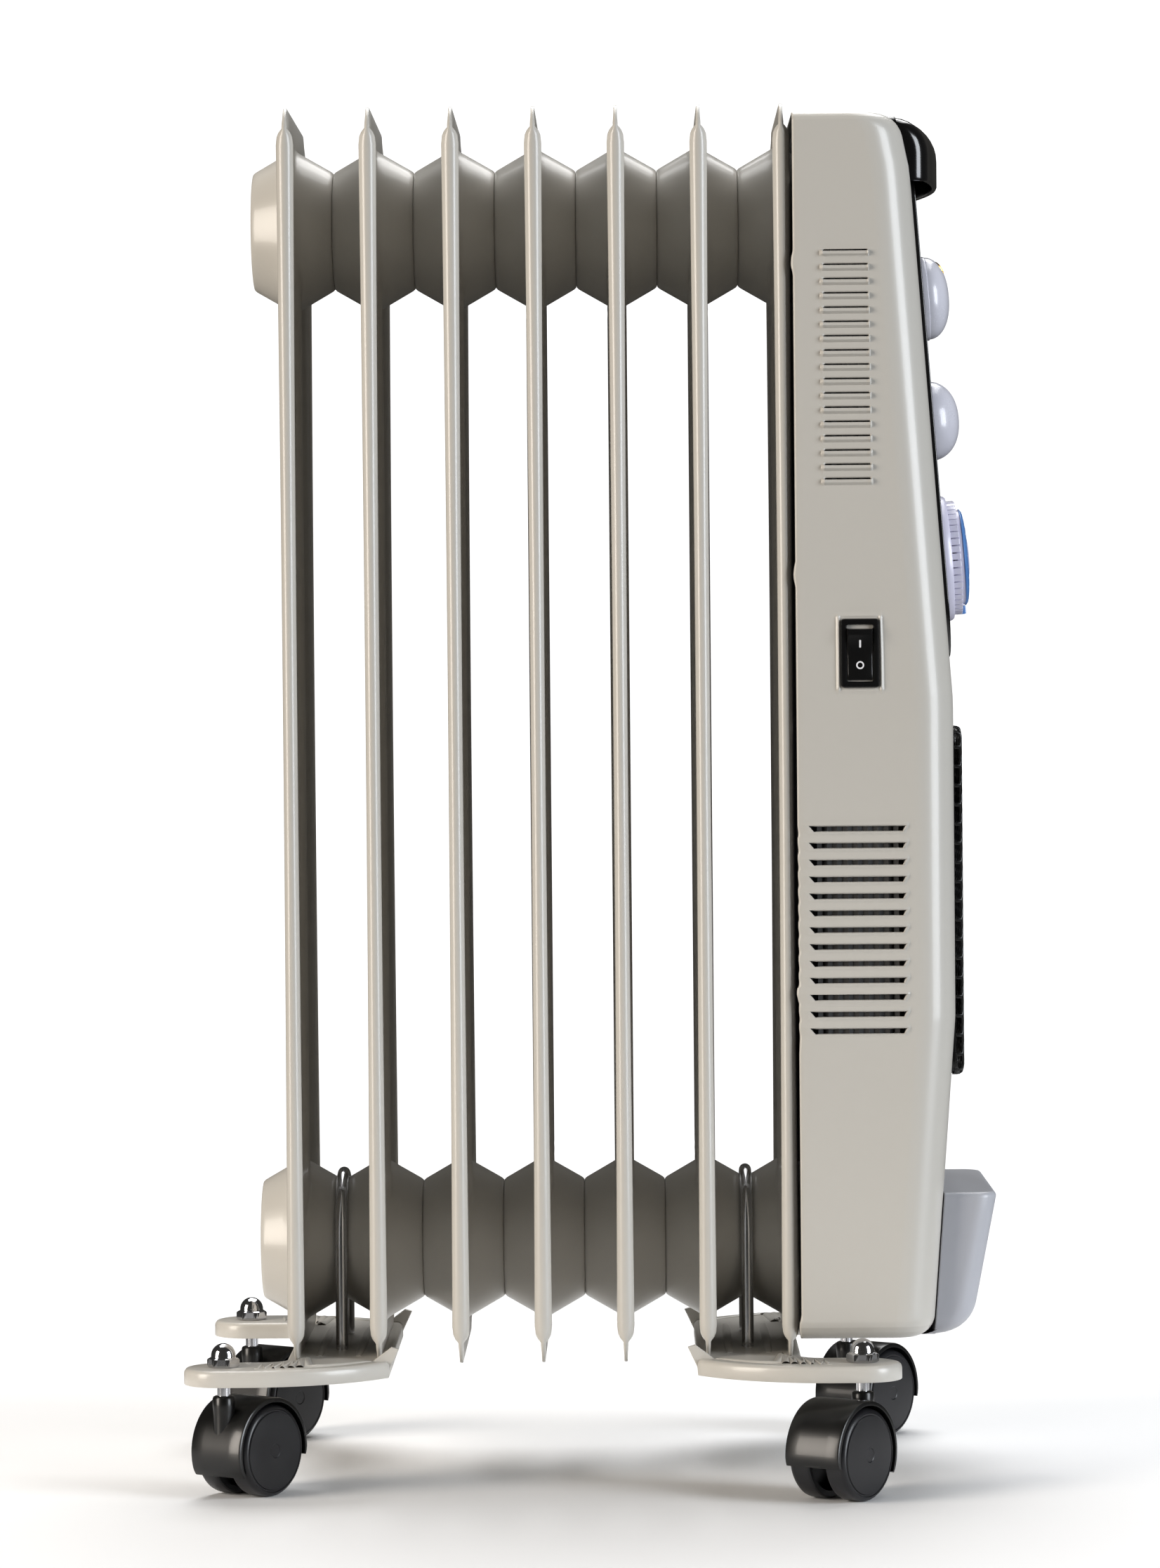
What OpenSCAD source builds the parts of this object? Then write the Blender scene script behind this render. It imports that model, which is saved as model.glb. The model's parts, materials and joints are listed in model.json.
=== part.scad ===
// Oil filled radiator heater with a fan heater in its control box, on four twin wheel casters.
// Millimetres. +X runs from the rear foot to the control box, +Y across the fins, +Z up.
// The origin is on the floor, under the middle of the whole heater.

/* [Radiator] */
// Height of a fin
fin_h = 580; // [570:1:700]
// Depth of a fin, across the heater
fin_d = 150; // [146:1:190]
// Distance from one fin to the next
fin_pitch = 38; // [36:0.1:46]
// Thickness of one of a fin's two steel sheets
sheet = 0.8; // [0.6:0.1:1.2]
// Radius of a fin's corners
fin_corner_r = 14; // [8:1:20]
// Radius of the rolled bead on a fin's upright edges
bead_r = 4.1; // [3:0.1:5]
// Distance from a fin's end to its bead's end
bead_inset = 10; // [8:1:16]
// Distance from a fin's end to its oil passage's axis
manifold_inset = 52; // [44:1:60]
// Radius of a boss where it meets the next fin's
boss_joint_r = 28; // [24:0.5:32]
// Radius of a boss at its own fin
boss_root_r = 38; // [34:0.5:44]
// Radius of the oil port between two fins
port_r = 20; // [17:0.5:22]
// Width of an upright oil channel
channel_w = 30; // [22:1:34]
// Thickness of an upright oil channel, over both sheets
channel_t = 9; // [6:0.5:12]
// Distance between the two oil channels' axes
channel_spacing = 52; // [40:1:60]

/* [Control box] */
// Gap from the last fin's middle plane to the casing
case_gap = 4.8; // [4.4:0.1:8]
// Depth of the casing at its belly
case_d = 72.8; // [66:0.1:90]
// Depth of the casing at the fascia's top
case_neck_d = 54.7; // [50:0.1:62]
// Depth of the casing under its top edge
case_top_d = 49.3; // [44:0.1:52]
// Depth of the casing at its bottom edge
case_foot_d = 61.6; // [55:0.1:66]
// How far the casing stands out past the fins on each side
case_over = 3; // [0:0.1:8]
// Height of the fins' top above the casing's top
case_drop = 5.3; // [2:0.1:12]
// Height of the casing's bottom above the fins' bottom
case_lift = 10.7; // [8:0.1:20]
// Wall of the casing
case_t = 2; // [1.2:0.1:3]
// Radius of the casing's upright front corners
case_corner_r = 14; // [8:1:18]
// Height of the belly's lower end above the casing's bottom
belly_lo = 148; // [140:1:170]
// Height of the slope that carries the fascia
slope_h = 244; // [244:1:256]
// Distance from the casing's top down to the slope's top end
neck_drop = 26; // [22:1:40]
// Lower louvres on each side
louvre_n = 13; // [8:1:15]
// Distance from one lower louvre to the next
louvre_pitch = 7.75; // [6:0.05:8.5]
// Length of a lower louvre
louvre_l = 44.4; // [30:1:46]
// Height of a lower louvre's slot
louvre_t = 3; // [2:0.1:4]
// Upper louvres on each side
vent_n = 17; // [8:1:18]
// Distance from one upper louvre to the next
vent_pitch = 6.54; // [5:0.02:7]
// Length of an upper louvre
vent_l = 22.6; // [14:1:24]
// Height of an upper louvre's slot
vent_t = 1; // [0.8:0.1:1.6]

/* [Controls] */
// Width of the black fascia
fascia_w = 104; // [92:1:116]
// Length of the fascia along the slope
fascia_l = 224; // [216:1:224]
// Distance from the belly's upper end to the fascia's tip
fascia_up = 19.5; // [14:0.5:20]
// Thickness of the fascia's rim, outside the casing
fascia_t = 1.6; // [1.2:0.1:3]
// Diameter of the heat selector knob
power_knob_d = 39.6; // [34:0.1:44]
// Diameter of the thermostat knob
thermostat_knob_d = 37.6; // [34:0.1:44]
// How far a knob stands out from the fascia
knob_h = 16.4; // [12:0.1:20]
// Radius of a knob's stem
stem_r = 3; // [2.5:0.1:4]
// Radial clearance of a turning fit
run_gap = 0.05; // [0.02:0.01:0.1]
// Diameter of the timer's bezel
timer_d = 60; // [52:1:64]
// Diameter of the timer's dial
dial_d = 45; // [38:1:46]
// How far the timer stands out from the fascia
timer_h = 15; // [12:0.5:18]
// Tabs round the timer's dial
tab_n = 48; // [24:1:48]
// Width of the rocker switch's bezel
rocker_w = 17.6; // [15:0.1:20]
// Height of the rocker switch's bezel
rocker_h = 31.7; // [28:0.1:36]
// Turn of the rocker each side of level
rocker_tilt = 7; // [5:0.5:9]

/* [Fan heater] */
// Width of the outlet grille
grille_w = 104; // [90:1:112]
// Height of the outlet grille
grille_h = 162; // [140:1:170]
// Thickness of the grille outside the casing
grille_t = 4.6; // [2:0.1:5]
// Distance from one honeycomb cell to the next
cell_pitch = 8.9; // [8:0.1:14]
// Wall between two honeycomb cells
cell_wall = 1.5; // [1.2:0.1:2.5]
// Radius of the blower wheel
blower_r = 20; // [16:0.5:21]
// Length of the blower wheel
blower_l = 78; // [60:1:84]

/* [Front box] */
// How far the front box stands out from the casing's belly
box_out = 19.7; // [15:0.1:28]
// Width of the front box
box_w = 126; // [100:1:136]
// Height of the front box
box_h = 68.3; // [50:0.1:80]
// Wall of the front box
box_t = 2.2; // [1.6:0.1:3]

/* [Handle] */
// Width of the carrying handle
handle_w = 120; // [100:1:136]
// Reach of the handle in front of the casing's neck
handle_out = 15.5; // [13:0.5:24]
// Height of the handle
handle_h = 33; // [28:1:40]
// Wall of the handle
handle_t = 2.6; // [2:0.1:3.5]

/* [Feet] */
// Distance from the fins' side to a caster's axis
stud_out = 19.5; // [14:0.5:35]
// Distance from a clamp's middle to its casters' axes
stud_reach = 51; // [48:1:60]
// Radius of a foot's rounded tips
tip_r = 18; // [15:0.5:20]
// Height of a foot's rim
rim_h = 7.5; // [7:0.5:12]
// Thickness of a foot's sheet
foot_t = 2; // [1.5:0.1:2.6]
// Depth that the fins sink into a foot
fin_sink = 3; // [2.2:0.1:4]
// Radius of the clamp's rod
clamp_rod_r = 2.8; // [2.5:0.1:3.5]
// Half the cap nut's size across flats
nut_af = 6.5; // [6:0.5:8]

/* [Casters] */
// Diameter of a wheel
wheel_d = 42; // [38:0.1:52]
// Width of one wheel
wheel_w = 11.2; // [10:0.1:13]
// Distance from the swivel axis to the axle
trail = 17.9; // [16:0.1:22]
// Gap between a wheel's tread and its hood
hood_gap = 1.4; // [1:0.1:2]
// Thickness of the hood
hood_t = 2.1; // [1.8:0.1:3]
// Thickness of the hood's middle web
web_t = 8; // [7.6:0.1:10]
// Radius of an axle
axle_r = 2.5; // [2:0.1:3]
// Radius of a stud's pin
stud_r = 3; // [2.5:0.1:3.2]

/* [Hidden] */
$fn = 64;
fin_n = 7;

// Colours
enamel = "#c3bfb8";
grey_plastic = "#cfcfd6";
black = "#1c1c1e";
steel = "#c9ccd0";
blue = "#5f8fc0";

// Heights
wheel_r = wheel_d / 2;
neck_top = wheel_d + 5.3;
foot_z0 = neck_top + 5.7;
foot_z1 = foot_z0 + rim_h;
fin_z0 = foot_z1 - fin_sink;
fin_z1 = fin_z0 + fin_h;
low_z = fin_z0 + manifold_inset;
high_z = fin_z1 - manifold_inset;
case_z0 = fin_z0 + case_lift;
case_h = fin_h - case_lift - case_drop;
neck_z = case_h - neck_drop;
belly_hi = neck_z - slope_h;

// Widths
case_w = fin_d + 2 * case_over;
track = fin_d + 2 * stud_out;

// Places along X
rear_len = tip_r + stud_reach - fin_pitch / 2;
total_x = rear_len + (fin_n - 1) * fin_pitch + case_gap + case_d + box_out;
fin_x1 = -total_x / 2 + rear_len;
fin_last = fin_x1 + (fin_n - 1) * fin_pitch;
rear_clamp_x = fin_x1 + fin_pitch / 2;
front_clamp_x = fin_last - fin_pitch / 2;
case_x0 = fin_last + case_gap;

// The slope that carries the fascia
slope = atan((case_d - case_neck_d) / (neck_z - belly_hi));
power_s = 189.2;
thermostat_s = 131.5;
timer_s = 66.3;

// Radial clearance of parts that only pass through each other
slip = 0.3;

function unit(v) = v / norm(v);

// Points of a corner at b between a and c, rounded to r with n steps
function rounded(a, b, c, r, n) =
    let (u = unit(a - b), v = unit(c - b), half = acos(u * v) / 2)
    let (mid = b + unit(u + v) * r / sin(half), p = b + u * r / tan(half), q = b + v * r / tan(half))
    let (a0 = atan2(p.y - mid.y, p.x - mid.x), a1 = atan2(q.y - mid.y, q.x - mid.x))
    let (turn = a1 - a0 > 180 ? a1 - a0 - 360 : (a1 - a0 < -180 ? a1 - a0 + 360 : a1 - a0))
    [for (k = [0:n]) mid + r * [cos(a0 + turn * k / n), sin(a0 + turn * k / n)]];

// An outline of [x, y, corner radius] points, as plain points
function outline(p, n = 6) = [for (i = [0:len(p) - 1])
    let (b = [p[i].x, p[i].y], a0 = p[(i + len(p) - 1) % len(p)], c0 = p[(i + 1) % len(p)])
    each p[i][2] == 0 ? [b] : rounded([a0.x, a0.y], b, [c0.x, c0.y], p[i][2], n)];

module plate(w, h, r) {
    polygon(outline([[-w / 2, -h / 2, r], [w / 2, -h / 2, r], [w / 2, h / 2, r], [-w / 2, h / 2, r]]));
}

// Lays an XY drawing into the XZ plane and runs it along Y, centred
module along_y(w) {
    rotate([90, 0, 0]) linear_extrude(w, center = true) children();
}

// Lays a drawing of (Y, Z) upright and runs it along +X
module along_x(l) {
    rotate([90, 0, 90]) linear_extrude(l) children();
}

// ---- Radiator ----

// Half of a boss, as a lathe profile; inset moves it inwards by the sheet
module boss_profile(inset) {
    chamfer = 2.5;
    half = fin_pitch / 2;
    polygon([[0, 0], [boss_root_r - inset, 0], [boss_root_r - inset, 1.5],
        [boss_joint_r + 1 - inset, half - chamfer - inset / 2], [boss_joint_r - chamfer - inset, half - inset],
        [0, half - inset]]);
}

module boss(inset) {
    for (side = [0, 180]) rotate([0, 90 + side, 0]) rotate_extrude() boss_profile(inset);
}

module channels(w, t, l) {
    r = (w * w + t * t) / (4 * t);
    for (side = [-1, 1]) translate([0, side * channel_spacing / 2, fin_h / 2])
        linear_extrude(l, center = true) intersection() {
            translate([r - t / 2, 0]) circle(r);
            translate([t / 2 - r, 0]) circle(r);
        }
}

module bead(side) {
    z = bead_inset + bead_r;
    translate([0, side * (fin_d / 2 - bead_r), 0]) {
        translate([0, 0, z]) cylinder(fin_h - 2 * z, r = bead_r);
        for (end = [z, fin_h - z]) translate([0, 0, end]) sphere(bead_r);
    }
}

// One fin, its bottom middle at the origin; rear_end closes the first fin's outer ports
module fin(rear_end = false, front_end = false) {
    span = fin_h - 2 * manifold_inset;
    ends = [manifold_inset, fin_h - manifold_inset];
    half = fin_pitch / 2;
    difference() {
        union() {
            translate([-sheet, 0, fin_h / 2]) along_x(2 * sheet) plate(fin_d, fin_h, fin_corner_r);
            for (z = ends) translate([0, 0, z]) boss(0);
            channels(channel_w, channel_t, span);
            for (side = [-1, 1]) bead(side);
        }
        for (z = ends) translate([0, 0, z]) boss(sheet);
        channels(channel_w - 4 * sheet, channel_t - 2 * sheet, span + 2);
        for (z = ends) translate([rear_end ? 0 : -half - 1, 0, z]) rotate([0, 90, 0])
            cylinder(fin_pitch + 2 - (rear_end ? half : 0), r = port_r);
    }
}

module fin_at(i) {
    color(enamel) translate([fin_x1 + (i - 1) * fin_pitch, 0, fin_z0]) fin(i == 1);
}

// Hexagonal head with a spigot in the last fin's port, its outer face towards +X
module port_plug(af, head) {
    head_x = fin_last + fin_pitch / 2;
    translate([head_x, 0, 0]) rotate([0, 90, 0]) cylinder(head, r = af / cos(30), $fn = 6);
    translate([head_x - 6, 0, 0]) rotate([0, 90, 0]) cylinder(6.2, r = port_r - 0.1);
}

module heating_element() {
    rod_r = 4.2;
    leg = 8.5;
    tip_x = fin_x1 + 6;
    bend_x = tip_x + leg + rod_r;
    start_x = fin_last + fin_pitch / 2 - 5;
    color("#8d8a84") translate([0, 0, low_z]) {
        port_plug(21.5, 7);
        for (side = [-1, 1]) {
            translate([bend_x, side * leg, 0]) rotate([0, 90, 0]) cylinder(start_x - bend_x, r = rod_r);
            translate([fin_last + fin_pitch / 2 + 6.8, side * leg, 0]) rotate([0, 90, 0]) cylinder(10, r = 2);
        }
        translate([bend_x, 0, 0]) rotate([0, 0, 90]) rotate_extrude(angle = 180) translate([leg, 0]) circle(rod_r);
    }
}

module oil_filler_plug() {
    color(steel) translate([0, 0, high_z]) port_plug(19, 5);
}

module thermal_cutout() {
    x = fin_last + fin_pitch / 2;
    color("#3a332c") translate([x + 7.2, 0, low_z]) {
        rotate([0, 90, 0]) translate([-14, 0, 0]) cylinder(7, r = 5);
        translate([7, -2.5, 11]) cube([4, 5, 6]);
    }
}

// ---- Control box ----

// Side outline of the casing from x = back, z from its bottom, moved inwards by inset
function case_side(inset, back = 0) = [[back, inset, 0],
    [case_foot_d - inset, inset, 8 - inset / 2],
    [case_d - inset, belly_lo, 60],
    [case_d - inset, belly_hi, 60],
    [case_neck_d - inset, neck_z, 20],
    [case_top_d - inset, case_h - inset, 10 - inset / 2],
    [back, case_h - inset, 0]];

// The front's corners, bottom to top, as [x, z]
case_front = [[case_foot_d, 0], [case_d, belly_lo], [case_d, belly_hi], [case_neck_d, neck_z], [case_top_d, case_h]];

// A prism along one stretch of the front, with round upright corners
module front_wrap(a, b, inset) {
    r = case_corner_r - inset;
    w = case_w / 2 - inset;
    reach = 2 * case_h;
    translate([a.x, 0, a.y]) rotate([0, atan2(b.x - a.x, b.y - a.y), 0]) translate([0, 0, -reach / 2])
        linear_extrude(reach) polygon(outline([[-case_h, -w, 0], [-inset, -w, r], [-inset, w, r], [-case_h, w, 0]], 5));
}

module case_solid(inset, back) {
    translate([case_x0, 0, case_z0]) intersection() {
        along_y(case_w + 2) polygon(outline(case_side(inset, back)));
        for (i = [0:len(case_front) - 2]) front_wrap(case_front[i], case_front[i + 1], inset);
    }
}

// Children with their x along the fascia's outward normal and z up the slope, s up from the belly
module on_slope(s) {
    translate([case_x0 + case_d, 0, case_z0 + belly_hi]) rotate([0, -slope, 0]) translate([0, 0, s]) children();
}

module fascia_outline(gap) {
    w = fascia_w / 2 - gap;
    polygon(outline([[-w, gap, 30], [w, gap, 30], [w, fascia_l - gap, 12], [-w, fascia_l - gap, 12]]));
}

louvre_x = case_x0 + 27.7;
louvre_z = case_z0 + 140.8;
vent_x = case_x0 + 24.6;
vent_z = case_z0 + case_h - 168.2;
rocker_x = case_x0 + 29.3;
rocker_z = case_z0 + case_h - 248.2;
grille_z = case_z0 + 200.8;
gland_x = case_x0 + 30;
gland_z = case_z0 + 24;
gland_r = 8;
post_y = case_w / 2 - case_t - 5;
post_z = [30, case_h / 2, case_h - 30];

module case_openings() {
    on_slope(fascia_up) translate([-12, 0, 0]) along_x(20) fascia_outline(4);
    translate([case_x0 + case_d - 10, 0, grille_z]) along_x(20) plate(grille_w - 8, grille_h - 8, 4);
    for (i = [0:louvre_n - 1]) translate([louvre_x, 0, louvre_z + i * louvre_pitch])
        along_y(case_w + 2) polygon([[-louvre_l / 2 + 2.5, 0], [louvre_l / 2 - 1.5, 0],
            [louvre_l / 2, louvre_t], [-louvre_l / 2, louvre_t]]);
    for (i = [0:vent_n - 1]) translate([vent_x - i * 0.12, 0, vent_z + i * vent_pitch])
        along_y(case_w + 2) square([vent_l, vent_t], center = true);
    translate([rocker_x, -case_w / 2, rocker_z]) along_y(20) square([rocker_w - 3, rocker_h - 3], center = true);
    translate([gland_x, case_w / 2 - 10, gland_z]) rotate([-90, 0, 0]) cylinder(20, r = gland_r + slip);
}

module control_casing() {
    color(enamel) {
        difference() {
            case_solid(0, 0);
            case_solid(case_t, -1);
            case_openings();
        }
        for (side = [-1, 1], z = post_z) translate([case_x0 + 4, side * post_y, case_z0 + z]) difference() {
            union() {
                rotate([0, 90, 0]) cylinder(16, r = 4);
                translate([0, side > 0 ? 0 : -5.5, -1.5]) cube([16, 5.5, 3]);
            }
            rotate([0, 90, 0]) translate([0, 0, -1]) cylinder(14, r = 1.8);
        }
    }
}

module back_plate() {
    w = case_w - 2 * case_t - 1;
    hole_r = boss_root_r + 1;
    color("#2a2a2b") difference() {
        translate([case_x0 + 2.6, 0, case_z0 + case_h / 2]) along_x(1.2) plate(w, case_h - 2 * case_t - 1, 3);
        for (z = [low_z, high_z]) translate([case_x0, 0, z]) rotate([0, 90, 0]) cylinder(8, r = hole_r);
        for (side = [-1, 1], z = post_z) translate([case_x0, side * post_y, case_z0 + z])
            rotate([0, 90, 0]) cylinder(8, r = 2.2);
        translate([case_x0, -20, case_z0 + case_h / 2 - 60]) cube([8, 40, 120]);
    }
}

module casing_screws() {
    color(steel) for (side = [-1, 1], z = post_z) translate([case_x0 + 2.5, side * post_y, case_z0 + z]) {
        rotate([0, -90, 0]) cylinder(1.8, r = 3.4);
        rotate([0, 90, 0]) cylinder(12, r = 1.7);
    }
}

module fascia_panel() {
    color(black) on_slope(fascia_up) difference() {
        union() {
            translate([0.05, 0, 0]) along_x(fascia_t) fascia_outline(0);
            translate([-4, 0, 0]) along_x(4.2) fascia_outline(4 + slip);
        }
        for (s = [power_s, thermostat_s]) translate([-6, 0, s - fascia_up]) rotate([0, 90, 0])
            cylinder(12, r = stem_r + 1);
        translate([-6, 0, timer_s - fascia_up]) rotate([0, 90, 0]) cylinder(12, r = 22.3);
        translate([-6, -4.6, timer_s - fascia_up - timer_d / 2 - 9]) cube([12, 9.2, 4.6]);
    }
}

// Hollow hood that the fingers reach into from below
module carry_handle() {
    x = case_x0 + case_neck_d;
    z1 = case_z0 + case_h - 0.5;
    out = x + handle_out;
    z0 = z1 - handle_h;
    back = case_x0 + case_top_d - 6;
    module hood(inset, w) {
        along_y(w) polygon(outline([[back - 4, z0 - 1 + (inset > 0 ? -4 : 0), 0],
            [out - inset, z0 - 1 + (inset > 0 ? -4 : 0), 0], [out - inset, z1 - inset, 17 - inset],
            [back - 4, z1 - inset, 0]], 10));
    }
    color(black) difference() {
        intersection() {
            hood(0, handle_w);
            translate([0, 0, z0]) linear_extrude(handle_h + 1) polygon(outline([
                [back - 4, -handle_w / 2, 0], [out, -handle_w / 2, 7], [out, handle_w / 2, 7], [back - 4, handle_w / 2, 0]]));
        }
        hood(handle_t, handle_w - 2 * handle_t);
        translate([case_x0 + 0.05, 0, case_z0 + 0.05]) along_y(case_w) polygon(outline(case_side(0)));
        translate([0, 0, case_z0 + case_h - 40]) linear_extrude(80)
            translate([case_x0 - 50, -case_w / 2]) square([case_top_d - 12 + 50, case_w]);
    }
}

// ---- Controls ----

// A knob with a collar, a crown and a moulded stem; its back face at x = 0.4
module knob(d) {
    r = d / 2;
    module profile() {
        polygon(concat([[0, 0.4]], outline([[r, 0.4, 0], [r, knob_h, r * 0.62], [0, knob_h, 0]], 10)));
    }
    rotate([0, 90, 0]) rotate_extrude() profile();
    translate([-20, 0, 0]) rotate([0, 90, 0]) cylinder(21, r = stem_r);
}

module power_knob() {
    color(grey_plastic) on_slope(power_s) translate([fascia_t, 0, 0]) knob(power_knob_d);
}

module thermostat_knob() {
    color(grey_plastic) on_slope(thermostat_s) translate([fascia_t, 0, 0]) knob(thermostat_knob_d);
}

// A block behind the fascia with a bore for a knob's stem
module switch_block(w, h, d) {
    difference() {
        translate([-4.4 - d, -w / 2, -h / 2]) cube([d, w, h]);
        translate([-21, 0, 0]) rotate([0, 90, 0]) cylinder(20, r = stem_r + run_gap);
    }
}

module power_switch() {
    color("#e8e4da") on_slope(power_s) {
        switch_block(30, 26, 22);
        for (side = [-1, 1], z = [-6, 6]) translate([-33, side * 9 - 3, z - 0.4]) cube([6.8, 6, 0.8]);
    }
}

module thermostat() {
    color(steel) on_slope(thermostat_s) {
        switch_block(24, 30, 18);
        translate([-27.4, -5, -14]) cube([5, 10, 28]);
    }
}

module timer_base() {
    r = timer_d / 2;
    color("#d9d7e6") on_slope(timer_s) translate([fascia_t, 0, 0]) {
        difference() {
            union() {
                translate([0.05, 0, 0]) rotate([0, 90, 0]) cylinder(6.4, r1 = r, r2 = r - 1.2);
                translate([-24, 0, 0]) rotate([0, 90, 0]) cylinder(24.1, r = 22);
            }
            translate([3.4, 0, 0]) rotate([0, 90, 0]) difference() {
                cylinder(4, r = r - 2.4);
                cylinder(4, r = 5);
            }
        }
        translate([6.3, 0, 0]) rotate([0, 90, 0]) cylinder(timer_h - 8.3, r = 2.4);
    }
}

module timer_dial() {
    r = dial_d / 2;
    color("#dcdae8") on_slope(timer_s) translate([fascia_t + 6.9, 0, 0]) rotate([0, 90, 0]) difference() {
        rotate_extrude() polygon(outline([[0, 0, 0], [r, 0, 0.6], [r, timer_h - 9.4, 1.5], [0, timer_h - 9.4, 0]], 4));
        translate([0, 0, -1]) cylinder(timer_h, r = 2.4 + run_gap);
        translate([0, 0, timer_h - 11.4]) cylinder(timer_h, r = 11);
    }
}

// The ring of switching tabs that the dial carries round
module timer_tabs() {
    r0 = dial_d / 2 + 0.1;
    r1 = timer_d / 2 - 3;
    wide = 0.68 * 2 * PI * r0 / tab_n;
    color(blue) on_slope(timer_s) translate([fascia_t + 4, 0, 0]) rotate([0, 90, 0])
        for (i = [0:tab_n - 1]) rotate([0, 0, i * 360 / tab_n]) translate([r0, -wide / 2, 0]) cube([r1 - r0, wide, 6.4]);
}

module timer_cap() {
    top = fascia_t + timer_h - 1.8;
    color("#c9c7da") on_slope(timer_s) translate([top, 0, 0]) rotate([0, 90, 0]) {
        rotate_extrude() polygon(outline([[0, 0, 0], [9, 0, 0], [9, 1.8, 1], [0, 1.8, 0]], 4));
        translate([-14, -0.8, 0.4]) cube([10, 1.6, 1.1]);
    }
}

module timer_override() {
    color(blue) on_slope(timer_s - timer_d / 2 - 6.7) translate([-4.5, -3.6, -1.9]) cube([4.5 + fascia_t + 3.4, 3.4, 3.8]);
}

rocker_y = -case_w / 2;
rocker_body_d = 20;

module rocker_housing() {
    hole_w = rocker_w - 3.4;
    hole_h = rocker_h - 3.4;
    color(black) translate([rocker_x, rocker_y, rocker_z]) difference() {
        union() {
            translate([0, -0.95, 0]) along_y(1.8) plate(rocker_w, rocker_h, 1.5);
            translate([0, rocker_body_d / 2 - 1, 0]) along_y(rocker_body_d + 1) square([hole_w, hole_h], center = true);
        }
        translate([0, 3, 0]) along_y(14) square([hole_w - 2.4, hole_h - 2.4], center = true);
        translate([0, -6, 0]) along_y(12) square([hole_w - 2.4, hole_h - 2.4], center = true);
        translate([-hole_w, 3, 0]) rotate([0, 90, 0]) cylinder(2 * hole_w, r = 1.5 + run_gap);
    }
    for (side = [-1, 1], z = [-8, 0, 8]) color(steel)
        translate([rocker_x - 3, rocker_y + rocker_body_d - 0.6, rocker_z + z - 0.4]) cube([6, 7, 0.8]);
}

// The paddle, switched off: its lower end is pressed in
module rocker_paddle() {
    w = rocker_w - 3.4 - 2.4 - 0.8;
    h = rocker_h - 3.4 - 2.4 - 1.8;
    color(black) translate([rocker_x, rocker_y + 3, rocker_z]) rotate([rocker_tilt, 0, 0]) {
        along_x_centred(w) polygon([[-6.4, -h / 2], [-4.2, 0], [-6.4, h / 2],
            [-2.6, h / 2 - 0.6], [2.5, 3], [2.5, -3], [-2.6, -h / 2 + 0.6]]);
        translate([-w / 2 - 1.4, 0, 0]) rotate([0, 90, 0]) cylinder(w + 2.8, r = 1.5);
    }
}

module along_x_centred(l) {
    translate([-l / 2, 0, 0]) along_x(l) children();
}

// ---- Fan heater ----

// Hexagonal holes that fill w by h, in rows that a pitch apart
module cells(w, h) {
    row = cell_pitch * sqrt(3) / 2;
    hole_r = (cell_pitch - cell_wall) / sqrt(3);
    rows = floor((h / 2 - hole_r) / row);
    cols = floor((w / 2 - hole_r) / cell_pitch);
    for (j = [-rows:rows], i = [-cols:cols]) {
        x = (i + (j % 2 == 0 ? 0 : 0.5)) * cell_pitch;
        if (abs(x) < w / 2 - hole_r) translate([x, j * row]) rotate([0, 0, 30]) circle(hole_r, $fn = 6);
    }
}

module fan_grille() {
    front = case_x0 + case_d;
    color(black) {
        translate([front - 1.2, 0, grille_z]) along_x(grille_t + 1.2) difference() {
            plate(grille_w - 8 - 2 * slip, grille_h - 8 - 2 * slip, 4);
            cells(grille_w - 12, grille_h - 12);
        }
        difference() {
            translate([front - 3, 0, grille_z]) along_x(grille_t + 3) difference() {
                plate(grille_w, grille_h, 6);
                plate(grille_w - 9, grille_h - 9, 4);
            }
            translate([case_x0 + 0.05, 0, case_z0]) along_y(case_w) polygon(outline(case_side(0)));
        }
    }
}

heat_x = case_x0 + case_d - 16;
blower_x = case_x0 + 5 + blower_r + 5.5;
blower_z = grille_z;

module ptc_heater() {
    w = blower_l + 6;
    h = 62;
    color("#b9bcc0") translate([heat_x, 0, blower_z]) difference() {
        translate([0, -w / 2, -h / 2]) cube([10, w, h]);
        for (j = [-2:2]) for (i = [-9:9]) translate([-1, i * 4.2 - 1.4, j * 11.4 - 4]) cube([12, 2.8, 8]);
    }
}

// Scroll round the wheel with a duct to the heater block and an inlet at each end
module blower_housing() {
    inner_r = blower_r + 4;
    w = blower_l + 9;
    duct = heat_x - blower_x;
    module side(g) {
        circle(inner_r + g);
        translate([0, -inner_r - g]) square([duct - 0.2, 2 * (inner_r + g)]);
    }
    color("#2b2b2d") translate([blower_x, 0, blower_z]) difference() {
        along_y(w) side(1.5);
        along_y(w - 3) {
            side(0);
            translate([0, -inner_r]) square([duct + 5, 2 * inner_r]);
        }
        along_y(w + 2) circle(blower_r - 3);
    }
}

shaft_r = 2;
motor_y = blower_l / 2 + 6;

module blower_wheel() {
    blades = 24;
    color("#3c3f44") translate([blower_x, 0, blower_z]) rotate([90, 0, 0]) {
        for (z = [-blower_l / 2, blower_l / 2 - 2]) translate([0, 0, z]) difference() {
            cylinder(2, r = blower_r);
            translate([0, 0, -1]) cylinder(4, r = blower_r - 5);
        }
        cylinder(2, r = blower_r - 0.2, center = true);
        cylinder(14, r = 5, center = true);
        for (i = [0:blades - 1]) rotate([0, 0, i * 360 / blades])
            translate([blower_r - 4.6, -0.4, -blower_l / 2 + 1]) cube([4, 0.8, blower_l - 2]);
        translate([0, 0, -motor_y - 17]) cylinder(motor_y + 17 + blower_l / 2, r = shaft_r);
    }
}

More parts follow.
